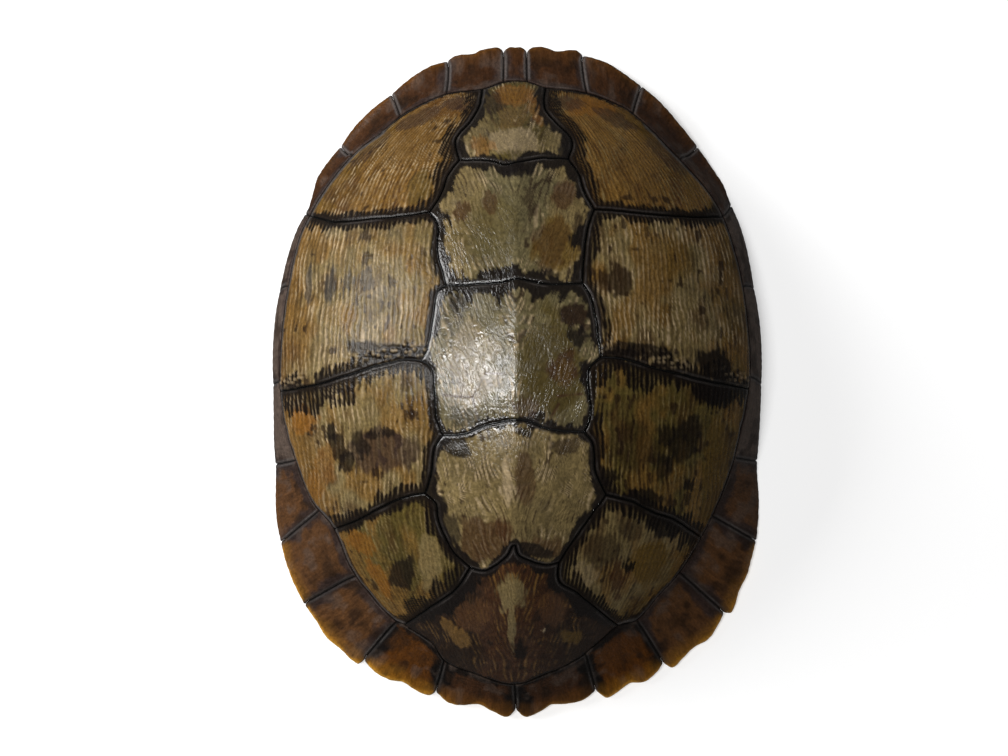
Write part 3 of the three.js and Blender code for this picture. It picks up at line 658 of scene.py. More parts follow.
def set_in(sides):
    """The four sides, evenly resampled and set in from the middle of their seams."""
    across = stepped(max(length_of(sides["front"]), length_of(sides["rear"])))
    down = stepped(max(length_of(sides["left"]), length_of(sides["right"])))
    fine = {name: ragged(resample(line, across if name in ("front", "rear") else down))
            for name, line in sides.items()}
    outline = np.vstack([fine["front"][:-1], fine["right"][:-1], fine["rear"][:0:-1],
                         fine["left"][:0:-1]])
    along = unit(np.roll(outline, -1, axis=0) - outline)
    after = np.column_stack([along[:, 1], -along[:, 0]])
    before = np.roll(after, 1, axis=0)
    corner = unit(before + after)
    share = np.maximum((corner * before).sum(axis=1, keepdims=True), SHARPEST)
    outline = outline + corner * (GAP / 2) / share
    closed = np.vstack([outline, outline[:1]])
    return {
        "front": closed[:across + 1],
        "right": closed[across:across + down + 1],
        "rear": closed[across + down:2 * across + down + 1][::-1],
        "left": closed[2 * across + down:][::-1],
    }


def coons(sides):
    """Fills the space between four sides with a grid of plan points."""
    front, rear = sides["front"][None], sides["rear"][None]
    left, right = sides["left"][:, None], sides["right"][:, None]
    s = np.linspace(0, 1, front.shape[1])[None, :, None]
    t = np.linspace(0, 1, left.shape[0])[:, None, None]
    corners = ((front[:, :1] * (1 - s) + front[:, -1:] * s) * (1 - t)
               + (rear[:, :1] * (1 - s) + rear[:, -1:] * s) * t)
    return front * (1 - t) + rear * t + left * (1 - s) + right * s - corners


LINE_STEP = 3  # a distance to a line is measured to each third point of it
AT_ONCE = 4000  # points in one block of distances, to save memory


def distance_to(line, points):
    """How far each point of a grid lies from a line, both in the plane or both in space."""
    line = np.vstack([line[:-1:LINE_STEP], line[-1:]])
    start, along = line[:-1], np.diff(line, axis=0)
    square_length = (along ** 2).sum(axis=-1)
    flat = points.reshape(-1, points.shape[-1])
    best = np.empty(len(flat))
    for first in range(0, len(flat), AT_ONCE):
        block = flat[first:first + AT_ONCE]
        from_start = block[:, None] - start[None]
        part = np.clip((from_start * along).sum(axis=-1) / square_length, 0, 1)
        square = ((from_start - part[..., None] * along) ** 2).sum(axis=-1)
        best[first:first + AT_ONCE] = np.sqrt(square.min(axis=1))
    return best.reshape(points.shape[:-1])


RIDGE_PITCH = 1.65
RIDGES_MEET = 107  # how far before and behind the apex the ridges would run together
STROKE_PITCH = 1.5
STROKE_LEAN = 0.28


def ridge_lines(x, y):
    """A number that grows by 1 from ridge to ridge, across the long wavy ridges of a costal."""
    flow = np.abs(x) / (1 - 0.75 * (np.minimum(np.abs(y), 100) / RIDGES_MEET) ** 4)
    wander = 0.6 * noise(flow / 7, y / 15, 21) + 0.26 * noise(flow / 2.6, y / 4.5, 22)
    return flow / RIDGE_PITCH + wander


def stroke_lines(x, y):
    """The same for the short strokes of a vertebral, which lean towards the keel behind."""
    flow = np.abs(x) - STROKE_LEAN * y
    wander = 0.8 * noise(flow / 5, y / 9, 23) + 0.4 * noise(flow / 2, y / 4, 24)
    return flow / STROKE_PITCH + wander


class Scute:
    """A scute of the dome as a grid: its plan, how far each point is from its seams, and so on."""

    def __init__(self, sides, mirrored, lines):
        self.plan = coons(set_in(sides))
        self.x, self.y = self.plan[..., 0], self.plan[..., 1]
        self.direction = direction_of(self.plan)
        self.radius = np.hypot(self.x, self.y)
        face = dome_point(self.direction, self.radius, np.zeros_like(self.radius))
        self.front = distance_to(face[0], face)
        self.rear = distance_to(face[-1], face)
        left = distance_to(face[:, 0], face)
        right = distance_to(face[:, -1], face)
        self.inner, self.outer = (left, right) if mirrored else (right, left)
        self.side = np.minimum(left, right)
        self.edge = np.minimum(np.minimum(self.front, self.rear), self.side)
        self.phase = lines(self.x, self.y)
        self.crest = np.cos(2 * np.pi * self.phase)
        self.grain = np.stack([self.phase * 2.2, self.y / 1.6, 0 * self.x], axis=-1)


# The relief beside a seam. The lip's and the dip's widths say how far they reach.
GROOVE_WIDTH = 0.5
DOME_EDGE = {"groove": 0.25, "lip": 0.06, "lip_at": 0.8, "lip_width": 0.35,
             "dip": 0.25, "dip_width": 3.0}
RIM_EDGE = {"groove": 0.4, "lip": 0.1, "lip_at": 1.0, "lip_width": 0.45,
            "dip": 0.3, "dip_width": 3.5}


def edge_relief(distance, groove, lip, lip_at, lip_width, dip, dip_width):
    """Height of a scute near its seams: a groove, a low lip, and a broad dip."""
    return (-groove * np.clip(1 - distance / GROOVE_WIDTH, 0, 1) ** 2
            + lip * bump(distance - lip_at, lip_width) - dip * np.exp(-distance / dip_width))


def fringe(scute, distance, width, fingers, seed):
    """A dark band along one seam, with ragged fingers that follow the ridges."""
    finger = noise(scute.phase * 0.7, scute.y / 9, seed)
    patch = rough(scute.x / 7, scute.y / 7, 2, seed + 1)
    fine = rough(scute.x / 1.8, scute.y / 2.4, 2, seed + 2)
    reach = width + fingers * (0.8 * finger + 0.8 * patch + 0.55 * fine - 0.2 * scute.crest)
    return 1 - fade(-0.5, 0.5, distance - np.maximum(reach, 0.5))


def blotch(scute, x, y, width, height, tilt, seed):
    """A patch about (x, y), tilted clockwise, whose ragged outline is drawn out on the ridges."""
    angle = math.radians(tilt)
    right, ahead = scute.x - x, scute.y - y
    across = (right * math.cos(angle) - ahead * math.sin(angle)) / width
    along = (right * math.sin(angle) + ahead * math.cos(angle)) / height
    fine = 2.2 / (width + height)
    warp = (0.36 * rough(scute.x / 5, scute.y / 6, 2, seed)
            + fine * 0.9 * noise(scute.phase * 1.2, scute.y / 3, seed + 1)
            + fine * 0.9 * rough(scute.x / 1.4, scute.y / 2, 2, seed + 2)
            + fine * 0.35 * scute.crest)
    return 1 - fade(0.78, 1.1, np.hypot(across, along) + warp)


def painted(scute, colour, patches, seed):
    """The patches of a look: place, half-widths, tilt, colour and how far it covers."""
    for i, (x, y, width, height, tilt, paint, cover) in enumerate(patches):
        part = blotch(scute, x, y, width, height, tilt, seed + 5 * i)
        colour = mix(colour, paint, cover * part)
    return colour


def scute_mesh(name, outer, inner, colour, gloss, grain, way=1):
    """A closed mesh from an outer grid and each COARSE-th point of an inner one."""
    mesh = Mesh()
    top = mesh.add_points(outer, colour, gloss, grain)
    coarse = (slice(None, None, COARSE), slice(None, None, COARSE))
    under = mesh.add_points(inner[coarse], FRINGE, UNDER_GLOSS, grain[coarse])
    mesh.close(top[::way], under[::way])
    return mesh.build(name)


def horn(name, scute, relief, colour, gloss, material):
    """Makes a scute of the dome from its grid, with its share of the keel."""
    roof = np.exp((KEEL_ROUNDING - np.hypot(scute.x, KEEL_ROUNDING)) / KEEL_WIDTH)
    keel = KEEL_HEIGHT * roof * fade(4, 30, KEEL_REACH - np.abs(scute.y))
    face = dome_point(scute.direction, scute.radius, relief + keel)
    below = dome_point(scute.direction, scute.radius, np.full(scute.radius.shape, -KERATIN))
    mesh = scute_mesh(name, face, below, colour, gloss, scute.grain)
    show(name, mesh, material)


def seam_colour(colour, distance, x, y):
    """The black line in a seam, and a painted highlight along the smooth lip beside it, broken in
    patches.
    """
    patchy = fade(-0.3, 0.5, rough(x / 8, y / 8, 2, 51))
    colour = mix(colour, LIP_HIGHLIGHT, 0.35 * patchy * bump(distance - 0.75, 0.22))
    return mix(colour, SEAM_BLACK, 1 - fade(0.05, 0.4, distance))


def fringed(scute, colour, edges, fringes, crests_from, seed):
    """Adds the dark bands along the edges. Returns the colour and how dark it is made.

    From crests_from millimetres inwards the crests stay pale in the band.
    """
    dark = np.zeros_like(scute.x)
    for i, (edge, (width, fingers)) in enumerate(zip(edges, fringes)):
        band = fringe(scute, getattr(scute, edge), width, fingers, seed + 40 + 7 * i)
        dark = np.maximum(dark, band)
    from_edge = fade(crests_from, crests_from + 2, scute.edge)
    tone = shade(FRINGE, 1 + 0.4 * scute.crest * from_edge)
    crest = fade(0.3, 1.0, scute.crest) * from_edge
    colour = mix(colour, tone, dark * (0.97 - 0.45 * crest))
    return seam_colour(colour, scute.edge, scute.x, scute.y), dark


def gloss_of(scute, dark):
    """The roughness: smoothest on top and where it is dark, and duller down the sides."""
    steep = fade(45, 100, scute.radius)
    uneven = rough(scute.x / 5, scute.y / 5, 3, 61)
    return TOP_GLOSS + 0.22 * steep + 0.15 * uneven - 0.07 * dark


# ---- costals --------------------------------------------------------------------------------

# A look's fringes are the dark bands' widths and how far their fingers reach, edge by edge. Its
# patches have a place, half-widths, a tilt in degrees, a colour and how far it covers.
COSTAL_EDGES = ("front", "rear", "inner", "outer")
COSTAL_LOOKS = {
    "left": [
        {"inner": GOLD, "outer": OCHRE, "crest": CREAM, "trough": RED_BROWN, "specks": 0.25,
         "fringes": [(1.8, 1.0), (2.9, 1.7), (5.2, 2.1), (1.6, 0.6)],
         "patches": [(-26.6, 97, 9, 5, 0, AMBER, 0.4), (-40, 84, 6, 9, 35, GOLD, 0.5),
                     (-33, 66, 5, 7, 0, OLIVE, 0.5), (-20, 98, 6, 3.2, 0, PURPLE_BROWN, 0.6),
                     (-33, 93.5, 10, 2.8, -25, PURPLE_BROWN, 0.6),
                     (-52, 81, 9, 2.6, -42, PURPLE_BROWN, 0.5)]},
        {"inner": OLIVE_TAN, "outer": GOLD, "crest": CREAM, "trough": DARK_BROWN,
         "specks": 0.3,
         "fringes": [(3.4, 2.2), (3.8, 3.0), (1.8, 1.0), (2.2, 0.8)],
         "patches": [(-50.4, 49.6, 2.4, 2.4, 0, DARK_BROWN, 0.7),
                     (-50.1, 42.2, 1.7, 2, 0, DARK_BROWN, 0.7),
                     (-41.9, 33, 1.5, 2, 0, DARK_BROWN, 0.6),
                     (-30.2, 42.9, 1.3, 2, 0, DARK_BROWN, 0.6),
                     (-71, 33, 1.6, 7, 0, SLATE, 0.6), (-63, 33, 2.2, 8, 4, SLATE, 0.6),
                     (-56, 34.5, 2.2, 3.2, 0, SLATE, 0.5), (-49.6, 34, 2, 5, 0, SLATE, 0.55),
                     (-50, 54, 18, 6, 0, SLATE, 0.2), (-40, 9.6, 15, 3.4, 8, FRINGE, 0.85)]},
        {"inner": OLIVE_TAN, "outer": GOLD, "crest": CREAM, "trough": DARK_BROWN, "specks": 0.5,
         "fringes": [(6.4, 4.8), (3.6, 1.9), (2.9, 1.8), (2.2, 0.8)],
         "patches": [(-73, -13, 5.5, 5, 20, ORANGE, 0.6), (-66, -30, 5, 12, 25, ORANGE, 0.4),
                     (-44, -23.5, 13, 7.5, 0, PURPLE_BROWN, 0.75),
                     (-69.6, -15.6, 1.6, 2.6, 0, FRINGE, 0.8),
                     (-62.5, -17, 2.8, 3.8, -20, FRINGE, 0.85),
                     (-59.5, -22.5, 3.2, 5.5, -25, FRINGE, 0.8),
                     (-57, -27, 3.4, 3, 0, FRINGE, 0.85),
                     (-52, -20.5, 2.8, 5, -20, FRINGE, 0.8),
                     (-46.4, -17.9, 2.6, 2.2, 0, FRINGE, 0.8),
                     (-41.5, -17.2, 3, 2, 0, FRINGE, 0.85),
                     (-46.2, -30.6, 1.3, 1.7, 0, DARK_BROWN, 0.8),
                     (-33.9, -11.2, 1.3, 1.6, 0, DARK_BROWN, 0.8)]},
        {"inner": OLIVE, "outer": GOLD, "crest": OLIVE_TAN, "trough": DARK_BROWN, "specks": 0.5,
         "fringes": [(2.9, 1.7), (5.2, 2.9), (4.4, 2.1), (3.2, 1.0)],
         "patches": [(-53, -55.5, 6.4, 4.4, 30, ORANGE, 0.55),
                     (-48, -68, 3, 10, -30, ORANGE, 0.6),
                     (-29, -60.5, 4.8, 9.5, 0, OLIVE_TAN, 0.8),
                     (-39, -66.5, 4.2, 7.6, 10, FRINGE, 0.85),
                     (-19.8, -54.7, 4, 10.7, -30, FRINGE, 0.85)]},
    ],
    "right": [
        {"inner": GOLD, "outer": OCHRE, "crest": OLIVE_TAN, "trough": RED_BROWN, "specks": 0.3,
         "fringes": [(1.8, 1.0), (3.1, 1.7), (5.5, 2.1), (1.6, 0.6)],
         "patches": [(26.7, 97, 8.5, 4.6, 0, ORANGE, 0.55), (45, 80, 6, 9, -35, GOLD, 0.5),
                     (63.4, 80, 4, 9, -35, DARK_BROWN, 0.5),
                     (17, 98, 7, 3.2, 3, PURPLE_BROWN, 0.6),
                     (34, 93.5, 10, 3, 24, PURPLE_BROWN, 0.55),
                     (53, 80, 9, 2.8, 42, PURPLE_BROWN, 0.5)]},
        {"inner": OLIVE_TAN, "outer": OCHRE, "crest": CREAM, "trough": DARK_BROWN, "specks": 0.45,
         "fringes": [(3.1, 2.0), (4.2, 3.4), (2.9, 1.6), (2.2, 0.8)],
         "patches": [(32.3, 33.5, 5.6, 5.3, 0, DARK_BROWN, 0.85),
                     (55, 42, 5, 8, 0, OCHRE, 0.4),
                     (53.9, 42.7, 0.9, 1.8, 0, DARK_BROWN, 0.8),
                     (63.3, 37.6, 1.2, 1.4, 0, DARK_BROWN, 0.8),
                     (55.5, 33.1, 1, 1.7, 0, DARK_BROWN, 0.8),
                     (63.1, 24.1, 0.9, 1.5, 0, DARK_BROWN, 0.8),
                     (63.2, 50.8, 1.4, 2.4, 0, DARK_BROWN, 0.8),
                     (68.5, 5.2, 8.5, 5.5, 25, FRINGE, 0.95),
                     (38, 10.6, 14, 2.6, 6, FRINGE, 0.85)]},
        {"inner": OLIVE, "outer": OCHRE, "crest": OLIVE_TAN, "trough": DARK_BROWN, "specks": 0.8,
         "fringes": [(6.8, 4.8), (3.8, 2.4), (3.6, 2.2), (2.4, 0.8)],
         "patches": [(40, -21, 9, 9, 0, DARK_BROWN, 0.45),
                     (70, -28, 6, 14, 0, OCHRE, 0.6),
                     (68, -4.5, 9, 5, 12, FRINGE, 0.95),
                     (57, -20, 5.4, 10, 32, FRINGE, 0.8), (50, -18, 3.4, 4, 10, FRINGE, 0.75),
                     (49.5, -29, 4, 6, 25, FRINGE, 0.75),
                     (59.3, -35.4, 2.1, 2.1, 0, FRINGE, 0.85),
                     (31, -31.2, 3.7, 3.3, 0, FRINGE, 0.85),
                     (43, -38.1, 7.1, 2.6, 15, FRINGE, 0.85)]},
        {"inner": OLIVE_TAN, "outer": OCHRE, "crest": OLIVE_TAN, "trough": DARK_BROWN,
         "specks": 0.6,
         "fringes": [(5.2, 3.2), (4.4, 2.4), (3.6, 2.0), (4.4, 2.0)],
         "patches": [(23.7, -65, 5.4, 4.8, 0, CREAM, 0.25),
                     (46.8, -61.9, 6.9, 9, 30, OCHRE, 0.9),
                     (39, -50, 7, 4, 20, DARK_BROWN, 0.6),
                     (35.1, -67.6, 3.6, 7.4, 0, RED_BROWN, 0.8),
                     (29, -57, 6, 7, 0, DARK_BROWN, 0.6),
                     (50, -49, 8.5, 3.8, 25, FRINGE, 0.9),
                     (39.5, -63.1, 2.1, 3.1, 0, SEAM_BLACK, 0.9)]},
    ],
}
BEADED = 1  # the second costals have beads of horn before their rear seam


def ridged(scute, colour, crest, trough, seed):
    """Pale crests and dark troughs, in lines that swell, thin out and break."""
    each = noise(scute.phase + 0.5, scute.y / 5, seed + 1)
    crumbs = rough(scute.x / 0.8, scute.y / 1.8, 2, seed + 2)
    hairs = noise(scute.phase * 3.1, scute.y / 3.5, seed + 5)
    line = 0.75 * scute.crest + 0.35 * np.cos(4 * np.pi * scute.phase + 2 * crumbs)
    line = line + 0.7 * each + 0.5 * crumbs + 0.6 * hairs
    clear = 0.2 + 0.7 * fade(-0.5, 0.4, rough(scute.x / 9, scute.y / 8, 3, seed + 3))
    colour = mix(colour, crest, clear * fade(0.3, 1.5, line))
    deep = 0.2 + 0.5 * fade(-0.4, 0.4, rough(scute.x / 6, scute.y / 6, 2, seed + 4))
    return mix(colour, trough, deep * fade(0.1, 1.3, -line))


def specked(scute, colour, amount, seed):
    """Dark specks and dashes along the ridges."""
    speck = noise(scute.phase * 1.4, scute.y / 2.6, seed)
    speck = speck + 0.6 * noise(scute.x / 9, scute.y / 9, seed + 1)
    return mix(colour, DARK_BROWN, 0.8 * fade(1.0 - 0.6 * amount, 1.25 - 0.6 * amount, speck))


def costal_colour(scute, look, seed):
    across = scute.inner / (scute.inner + scute.outer)
    patch = rough(scute.x / 9, scute.y / 12, 3, seed)
    colour = mix(look["inner"], look["outer"], fade(0.6, 0.92, across + 0.2 * patch))
    warm = rough(scute.x / 7, scute.y / 11, 3, seed + 9)
    colour = mix(colour, GOLD, 0.8 * fade(-0.1, 0.5, warm))
    colour = mix(colour, RED_BROWN, 0.55 * fade(0.1, 0.7, -warm))
    colour = shade(colour, 1 + 0.3 * rough(scute.phase * 0.8, scute.y / 8, 3, seed + 11))
    lines_from = fade(0.4, 4.5, scute.outer)
    ridges = ridged(scute, colour, look["crest"], look["trough"], seed + 20)
    colour = mix(colour, ridges, (1 - 0.45 * fade(0.75, 1, across)) * lines_from)
    colour = specked(scute, colour, look["specks"], seed + 30)
    colour = painted(scute, colour, look["patches"], seed + 60)
    colour = shade(colour, 1 + 0.1 * scute.crest * lines_from)
    colour, dark = fringed(scute, colour, COSTAL_EDGES, look["fringes"], 1.0, seed)
    # A painted highlight on the lip beside the outer seam.
    return mix(colour, LIP_HIGHLIGHT, 0.55 * bump(scute.outer - 1.4, 0.85)), dark


def ridge_relief(scute):
    """Long wavy ridges, broken here and there, and smooth beside the outer edge."""
    strength = 0.75 + 0.45 * noise(scute.x / 6, scute.y / 9, 31)
    broken = 0.5 + 0.5 * fade(-0.55, 0.1, noise(scute.phase * 1.1, scute.y / 5, 32))
    crumble = rough(scute.x / 1.3, scute.y / 2.2, 2, 33)
    return 0.12 * strength * broken * scute.crest + 0.06 * crumble


def bead_relief(scute, reach):
    """Round beads of horn in the last few millimetres before the rear seam."""
    band = bump(scute.rear - reach, 2.2) * fade(-0.5, 0.3, noise(scute.x / 13, scute.y / 13, 35))
    return band, beads(scute.x / 2.1, scute.y / 1.9, 36)


def costal(side, index, sides, material):
    scute = Scute(sides, side == "right", ridge_lines)
    seed = 100 * (index + 1) + (50 if side == "right" else 0)
    colour, dark = costal_colour(scute, COSTAL_LOOKS[side][index], seed)
    smooth = fade(0.6, 4.5, scute.outer) * fade(0.3, 1.0, scute.edge)
    relief = edge_relief(scute.edge, **DOME_EDGE) + smooth * ridge_relief(scute)
    if index == BEADED:
        band, bead = bead_relief(scute, 3.2)
        relief = relief + band * (0.42 * bead - 0.15)
        # Cream on the tops of the beads is a painted highlight.
        colour = mix(colour, CREAM, 0.5 * band * fade(0.55, 0.95, bead))
        colour = mix(colour, FRINGE, 0.6 * band * (1 - fade(0.0, 0.4, bead)))
    horn(f"costal_{side}_{index + 1}", scute, relief, colour, gloss_of(scute, dark),
         material)


# ---- vertebrals -----------------------------------------------------------------------------

VERTEBRAL_EDGES = ("front", "rear", "side")
VERTEBRAL_LOOKS = [
    {"ground": OLIVE, "flank": OLIVE_TAN, "stroke": CREAM, "specks": 0.3, "lines": [],
     "fringes": [(1.2, 0.5), (2.2, 1.6), (2.8, 1.8)],
     "patches": [(17.8, 79, 2.4, 5.5, 0, FRINGE, 0.85), (-19.8, 79, 1.8, 5, 0, FRINGE, 0.8),
                 (-1, 101.3, 8.5, 5, 0, ORANGE, 0.55), (8.8, 95, 4.4, 7, 0, ORANGE, 0.45),
                 (0, 92, 6, 6, 0, GOLD, 0.4), (-0.8, 81.3, 8.9, 5.5, 0, CREAM, 0.45),
                 (-11.4, 80.2, 4.1, 4.8, 0, ORANGE, 0.45),
                 (-7.7, 97.9, 3.5, 4.2, 0, DARK_BROWN, 0.7)]},
    {"ground": GREY_OLIVE, "flank": OLIVE_TAN, "stroke": CREAM, "specks": 0.35, "lines": [],
     "fringes": [(3.4, 2.6), (3.2, 2.6), (3.1, 2.4)],
     "patches": [(-10, 50, 10, 14, 0, OLIVE, 0.4), (-8.5, 59.9, 2.7, 3.7, 0, RED_BROWN, 0.6),
                 (-18.2, 56.9, 3, 4, 0, RED_BROWN, 0.7),
                 (13.4, 45, 8, 9.5, 20, OCHRE, 0.7), (11, 45, 6, 9, 10, RED_BROWN, 0.5),
                 (16.5, 62, 4.5, 5, 0, RED_BROWN, 0.75), (4.9, 59.9, 2.7, 4.7, 0, DARK_BROWN, 0.65),
                 (-3.8, 36.2, 3.3, 2.3, 0, FRINGE, 0.9), (12, 35.5, 3.6, 2.2, 0, FRINGE, 0.8),
                 (0, 71, 6.2, 2.8, 0, FRINGE, 0.9), (21, 50, 2.4, 9, 0, DARK_BROWN, 0.75)]},
    {"ground": GREY_OLIVE, "flank": GREY_OLIVE, "stroke": CREAM, "specks": 0.2,
     "lines": [[(-23.6, -4.3), (-14.1, -5), (-9.7, 2.9), (-3.6, 2.6)], [(-14.1, -5), (-12, -13.8)],
               [(13.5, -4.6), (21.6, -3.9)], [(14, -7), (9.9, -14.1)]],
     "fringes": [(4.8, 3.0), (1.6, 1.4), (1.9, 1.5)],
     # The cream patch on the left flank is partly pale horn and partly a painted highlight. The olive
     # patch on the right flank is partly painted shade, and the faint dark brown one over it is painted
     # shade.
     "patches": [(11, 6, 11, 18, 0, OLIVE, 0.9), (-14, 4, 9, 15, 0, CREAM, 0.3),
                 (15.8, 4.6, 4.7, 6.4, 0, RED_BROWN, 0.8), (15.6, 3.6, 3, 5, 0, OCHRE, 0.4),
                 (11, 2, 9, 15, 0, DARK_BROWN, 0.2),
                 (18.3, 21.5, 5.2, 4.6, 0, DARK_BROWN, 0.95), (20.5, 15, 3.8, 3.6, 0, FRINGE, 0.9),
                 (-19, 26, 3.4, 3.4, 0, FRINGE, 0.8), (6.3, -11, 3.2, 1.9, 0, FRINGE, 0.9),
                 (3.2, -8.4, 4.2, 4, 0, RED_BROWN, 0.5), (-17, -11.5, 5.5, 3, 10, LIP_BLACK, 0.45),
                 (22.5, 3, 1.6, 4, 0, FRINGE, 0.8)]},
    {"ground": OLIVE_TAN, "flank": OLIVE_TAN, "stroke": CREAM, "specks": 0.3, "lines": [],
     "fringes": [(1.7, 1.2), (2.0, 1.3), (2.6, 1.7)],
     "patches": [(-18.8, -21.8, 6.6, 3.4, 20, FRINGE, 0.9), (2.6, -15.8, 4.3, 2.4, 0, FRINGE, 0.85),
                 (16, -20.8, 5.4, 2.9, 0, DARK_BROWN, 0.7), (3, -31.5, 3.2, 9.5, 0, RED_BROWN, 0.65),
                 (-10.5, -52.5, 8.6, 8.2, 20, RED_BROWN, 0.75), (9.2, -55, 7.4, 3.8, 0, RED_BROWN, 0.65),
                 # The narrow cream streak just left of the keel is a painted highlight.
                 (-3, -33, 1.8, 9, 0, CREAM, 0.5), (6.5, -56, 7, 2.4, 15, FRINGE, 0.85),
                 (-22.5, -49, 4, 7, -25, FRINGE, 0.7),
                 (-3, -49, 3.4, 4, 0, RED_BROWN, 0.5)]},
    {"ground": RED_BROWN, "flank": DARK_BROWN, "stroke": GOLD, "specks": 0.6, "lines": [],
     "fringes": [(2.6, 2.0), (1.8, 1.0), (3.9, 2.1)],
     "patches": [(-14.5, -79.6, 5.4, 7.2, 20, CHESTNUT, 0.7),
                 (13.3, -77.6, 5, 6.9, -20, CHESTNUT, 0.6),
                 (-1.3, -70.5, 5.2, 6.5, 10, OLIVE_TAN, 0.95), (-1.2, -83, 1.5, 10, 0, OLIVE_TAN, 0.85),
                 (-20.5, -88.5, 3, 6.4, -35, GOLD, 0.75), (19.4, -89, 4.4, 3.2, 20, OCHRE, 0.75),
                 (9.1, -85.6, 1, 1, 0, CREAM, 0.8), (1.8, -93.5, 2.4, 4.4, 0, SEAM_BLACK, 0.8)]},
]


def growth_lines(scute, colour, lines):
    """Thin reddish lines that old seams have left."""
    for line in lines:
        away = distance_to(resample(np.array(line), 60), scute.plan)
        patchy = 0.5 + 0.5 * fade(-0.4, 0.2, noise(scute.x / 3, scute.y / 3, 75))
        colour = mix(colour, GROWTH_RED, 0.85 * patchy * bump(away, 0.42))
    return colour


def vertebral_colour(scute, look, seed):
    patch = rough(scute.x / 8, scute.y / 11, 3, seed)
    colour = mix(look["ground"], look["flank"], fade(6, 18, np.abs(scute.x) + 7 * patch))
    colour = shade(colour, 1 + 0.3 * rough(scute.x / 5, scute.y / 7, 3, seed + 11))
    stroke = scute.crest * noise(scute.phase * 0.7, scute.y / 5, seed + 12)
    net = rough(scute.x / 1.0, scute.y / 1.2, 2, seed + 13)
    cloud = fade(-0.4, 0.4, rough(scute.x / 9, scute.y / 9, 2, seed + 14))
    colour = mix(colour, look["stroke"], 0.8 * cloud * fade(0.05, 0.6, stroke + 0.35 * net))
    colour = mix(colour, DARK_BROWN, 0.7 * fade(0.15, 0.75, 0.4 * net - stroke))
    colour = shade(colour, 1 + 0.32 * net)
    colour = specked(scute, colour, look["specks"], seed + 30)
    colour = painted(scute, colour, look["patches"], seed + 60)
    colour = growth_lines(scute, colour, look["lines"])
    return fringed(scute, colour, VERTEBRAL_EDGES, look["fringes"], 4.0, seed)


def wrinkle_relief(scute):
    """Shallow strokes and a fine net of wrinkles."""
    stroke = scute.crest * noise(scute.phase * 0.7, scute.y / 5, 71)
    net = rough(scute.x / 1.6, scute.y / 2, 2, 72)
    broad = rough(scute.x / 9, scute.y / 9, 2, 73)
    return fade(0.6, 3, scute.edge) * (0.1 * stroke + 0.04 * net + 0.2 * broad)


def vertebral(index, sides, material):
    scute = Scute(sides, False, stroke_lines)
    colour, dark = vertebral_colour(scute, VERTEBRAL_LOOKS[index], 1000 + 100 * index)
    relief = edge_relief(scute.edge, **DOME_EDGE) + wrinkle_relief(scute)
    horn(f"vertebral_{index + 1}", scute, relief, colour, gloss_of(scute, dark),
         material)


# ---- marginal scutes ------------------------------------------------------------------------

# Rows of points from where the lobes start to their tips, round the edge, and back below it
LOBE_ROWS = 8
EDGE_ROWS = 12
WRAP_ROWS = 8
WORN_RIM = 0.12  # how uneven the rim is
NEAR_TABLE = 0.5  # a marginal that reaches lower than this is sawn with the bridge

# In a look, cross weighs the painted highlight on the lips beside the cross seams against the painted
# shadow there.
FRONT_LOOK = {"border": PURPLE_BROWN, "middle": RED_BROWN, "rim": ORANGE, "rim_part": 0.35,
              "seam_band": 2.0, "side_band": 1.6, "cross": 0.9}
SIDE_LOOK = {"border": PURPLE_BROWN, "middle": GREY_BROWN, "rim": CHESTNUT, "rim_part": 0.4,
             "seam_band": 1.5, "side_band": 1.2, "cross": 0.6}
HIP_LOOK = {"border": PURPLE_BROWN, "middle": CHESTNUT, "rim": ORANGE, "rim_part": 0.8,
            "seam_band": 6.0, "side_band": 3.0, "cross": 0.5}
BROWN_LOOK = {"border": PURPLE_BROWN, "middle": CHESTNUT, "rim": RIM_YELLOW, "rim_part": 0.85,
              "seam_band": 4.5, "side_band": 3.0, "cross": 0.25}
REAR_LOOK = {"border": FRINGE, "middle": AMBER, "rim": RIM_YELLOW, "rim_part": 0.9,
             "seam_band": 4.0, "side_band": 3.0, "cross": 0.2}
TAIL_LOOK = {"border": FRINGE, "middle": RED_BROWN, "rim": ORANGE, "rim_part": 0.9,
             "seam_band": 3.0, "side_band": 4.0, "cross": 0.2}
MARGINAL_LOOKS = [*[FRONT_LOOK] * 4, *[SIDE_LOOK] * 3, HIP_LOOK, BROWN_LOOK, BROWN_LOOK,
                  REAR_LOOK, TAIL_LOOK]


def lobe_of(edge):
    """The scute's own outer edge: its directions in order, and its radius at each."""
    points = np.array(edge, float)
    directions = direction_of(points)
    directions = near(directions, directions[1])
    order = np.argsort(directions)
    return directions[order], np.hypot(*points.T)[order]


def marginal_rows(seam_at, rim_at, lobes, depth, skirt_rows):
    """Points, normals and directions from the marginal seam round the free edge to below it."""
    parts = np.linspace(SEAM_CLEARANCE, 1, skirt_rows + 1)[:, None]
    at = seam_at * (1 - parts) + rim_at * parts
    point, normal = skirt_profile(at, np.broadcast_to(parts, at.shape), np.full(at.shape, depth))
    points, normals, places = [point], [normal], [at]
    middle, pointing, radius, stretch = edge_profile(rim_at, lobes)
    outward = quarter_turn(pointing)
    reach = (radius - depth)[:, None]
    tip = middle + pointing * stretch[:, None]

    def add(row, way):
        points.append(row[None])
        normals.append(way[None])
        places.append(rim_at[None])

    for part in steps(LOBE_ROWS):
        add(middle + pointing * (stretch * part)[:, None] + outward * reach, outward)
    for turn in np.pi * steps(EDGE_ROWS):
        add(*round_edge(tip, pointing, reach, turn))
    for part in steps(WRAP_ROWS):
        back = stretch * (1 - part) - wrap_length(rim_at) * part
        add(middle + pointing * back[:, None] - outward * reach, -outward)
    at = np.vstack(places)
    return in_space(at, np.vstack(points)), in_space(at, np.vstack(normals))


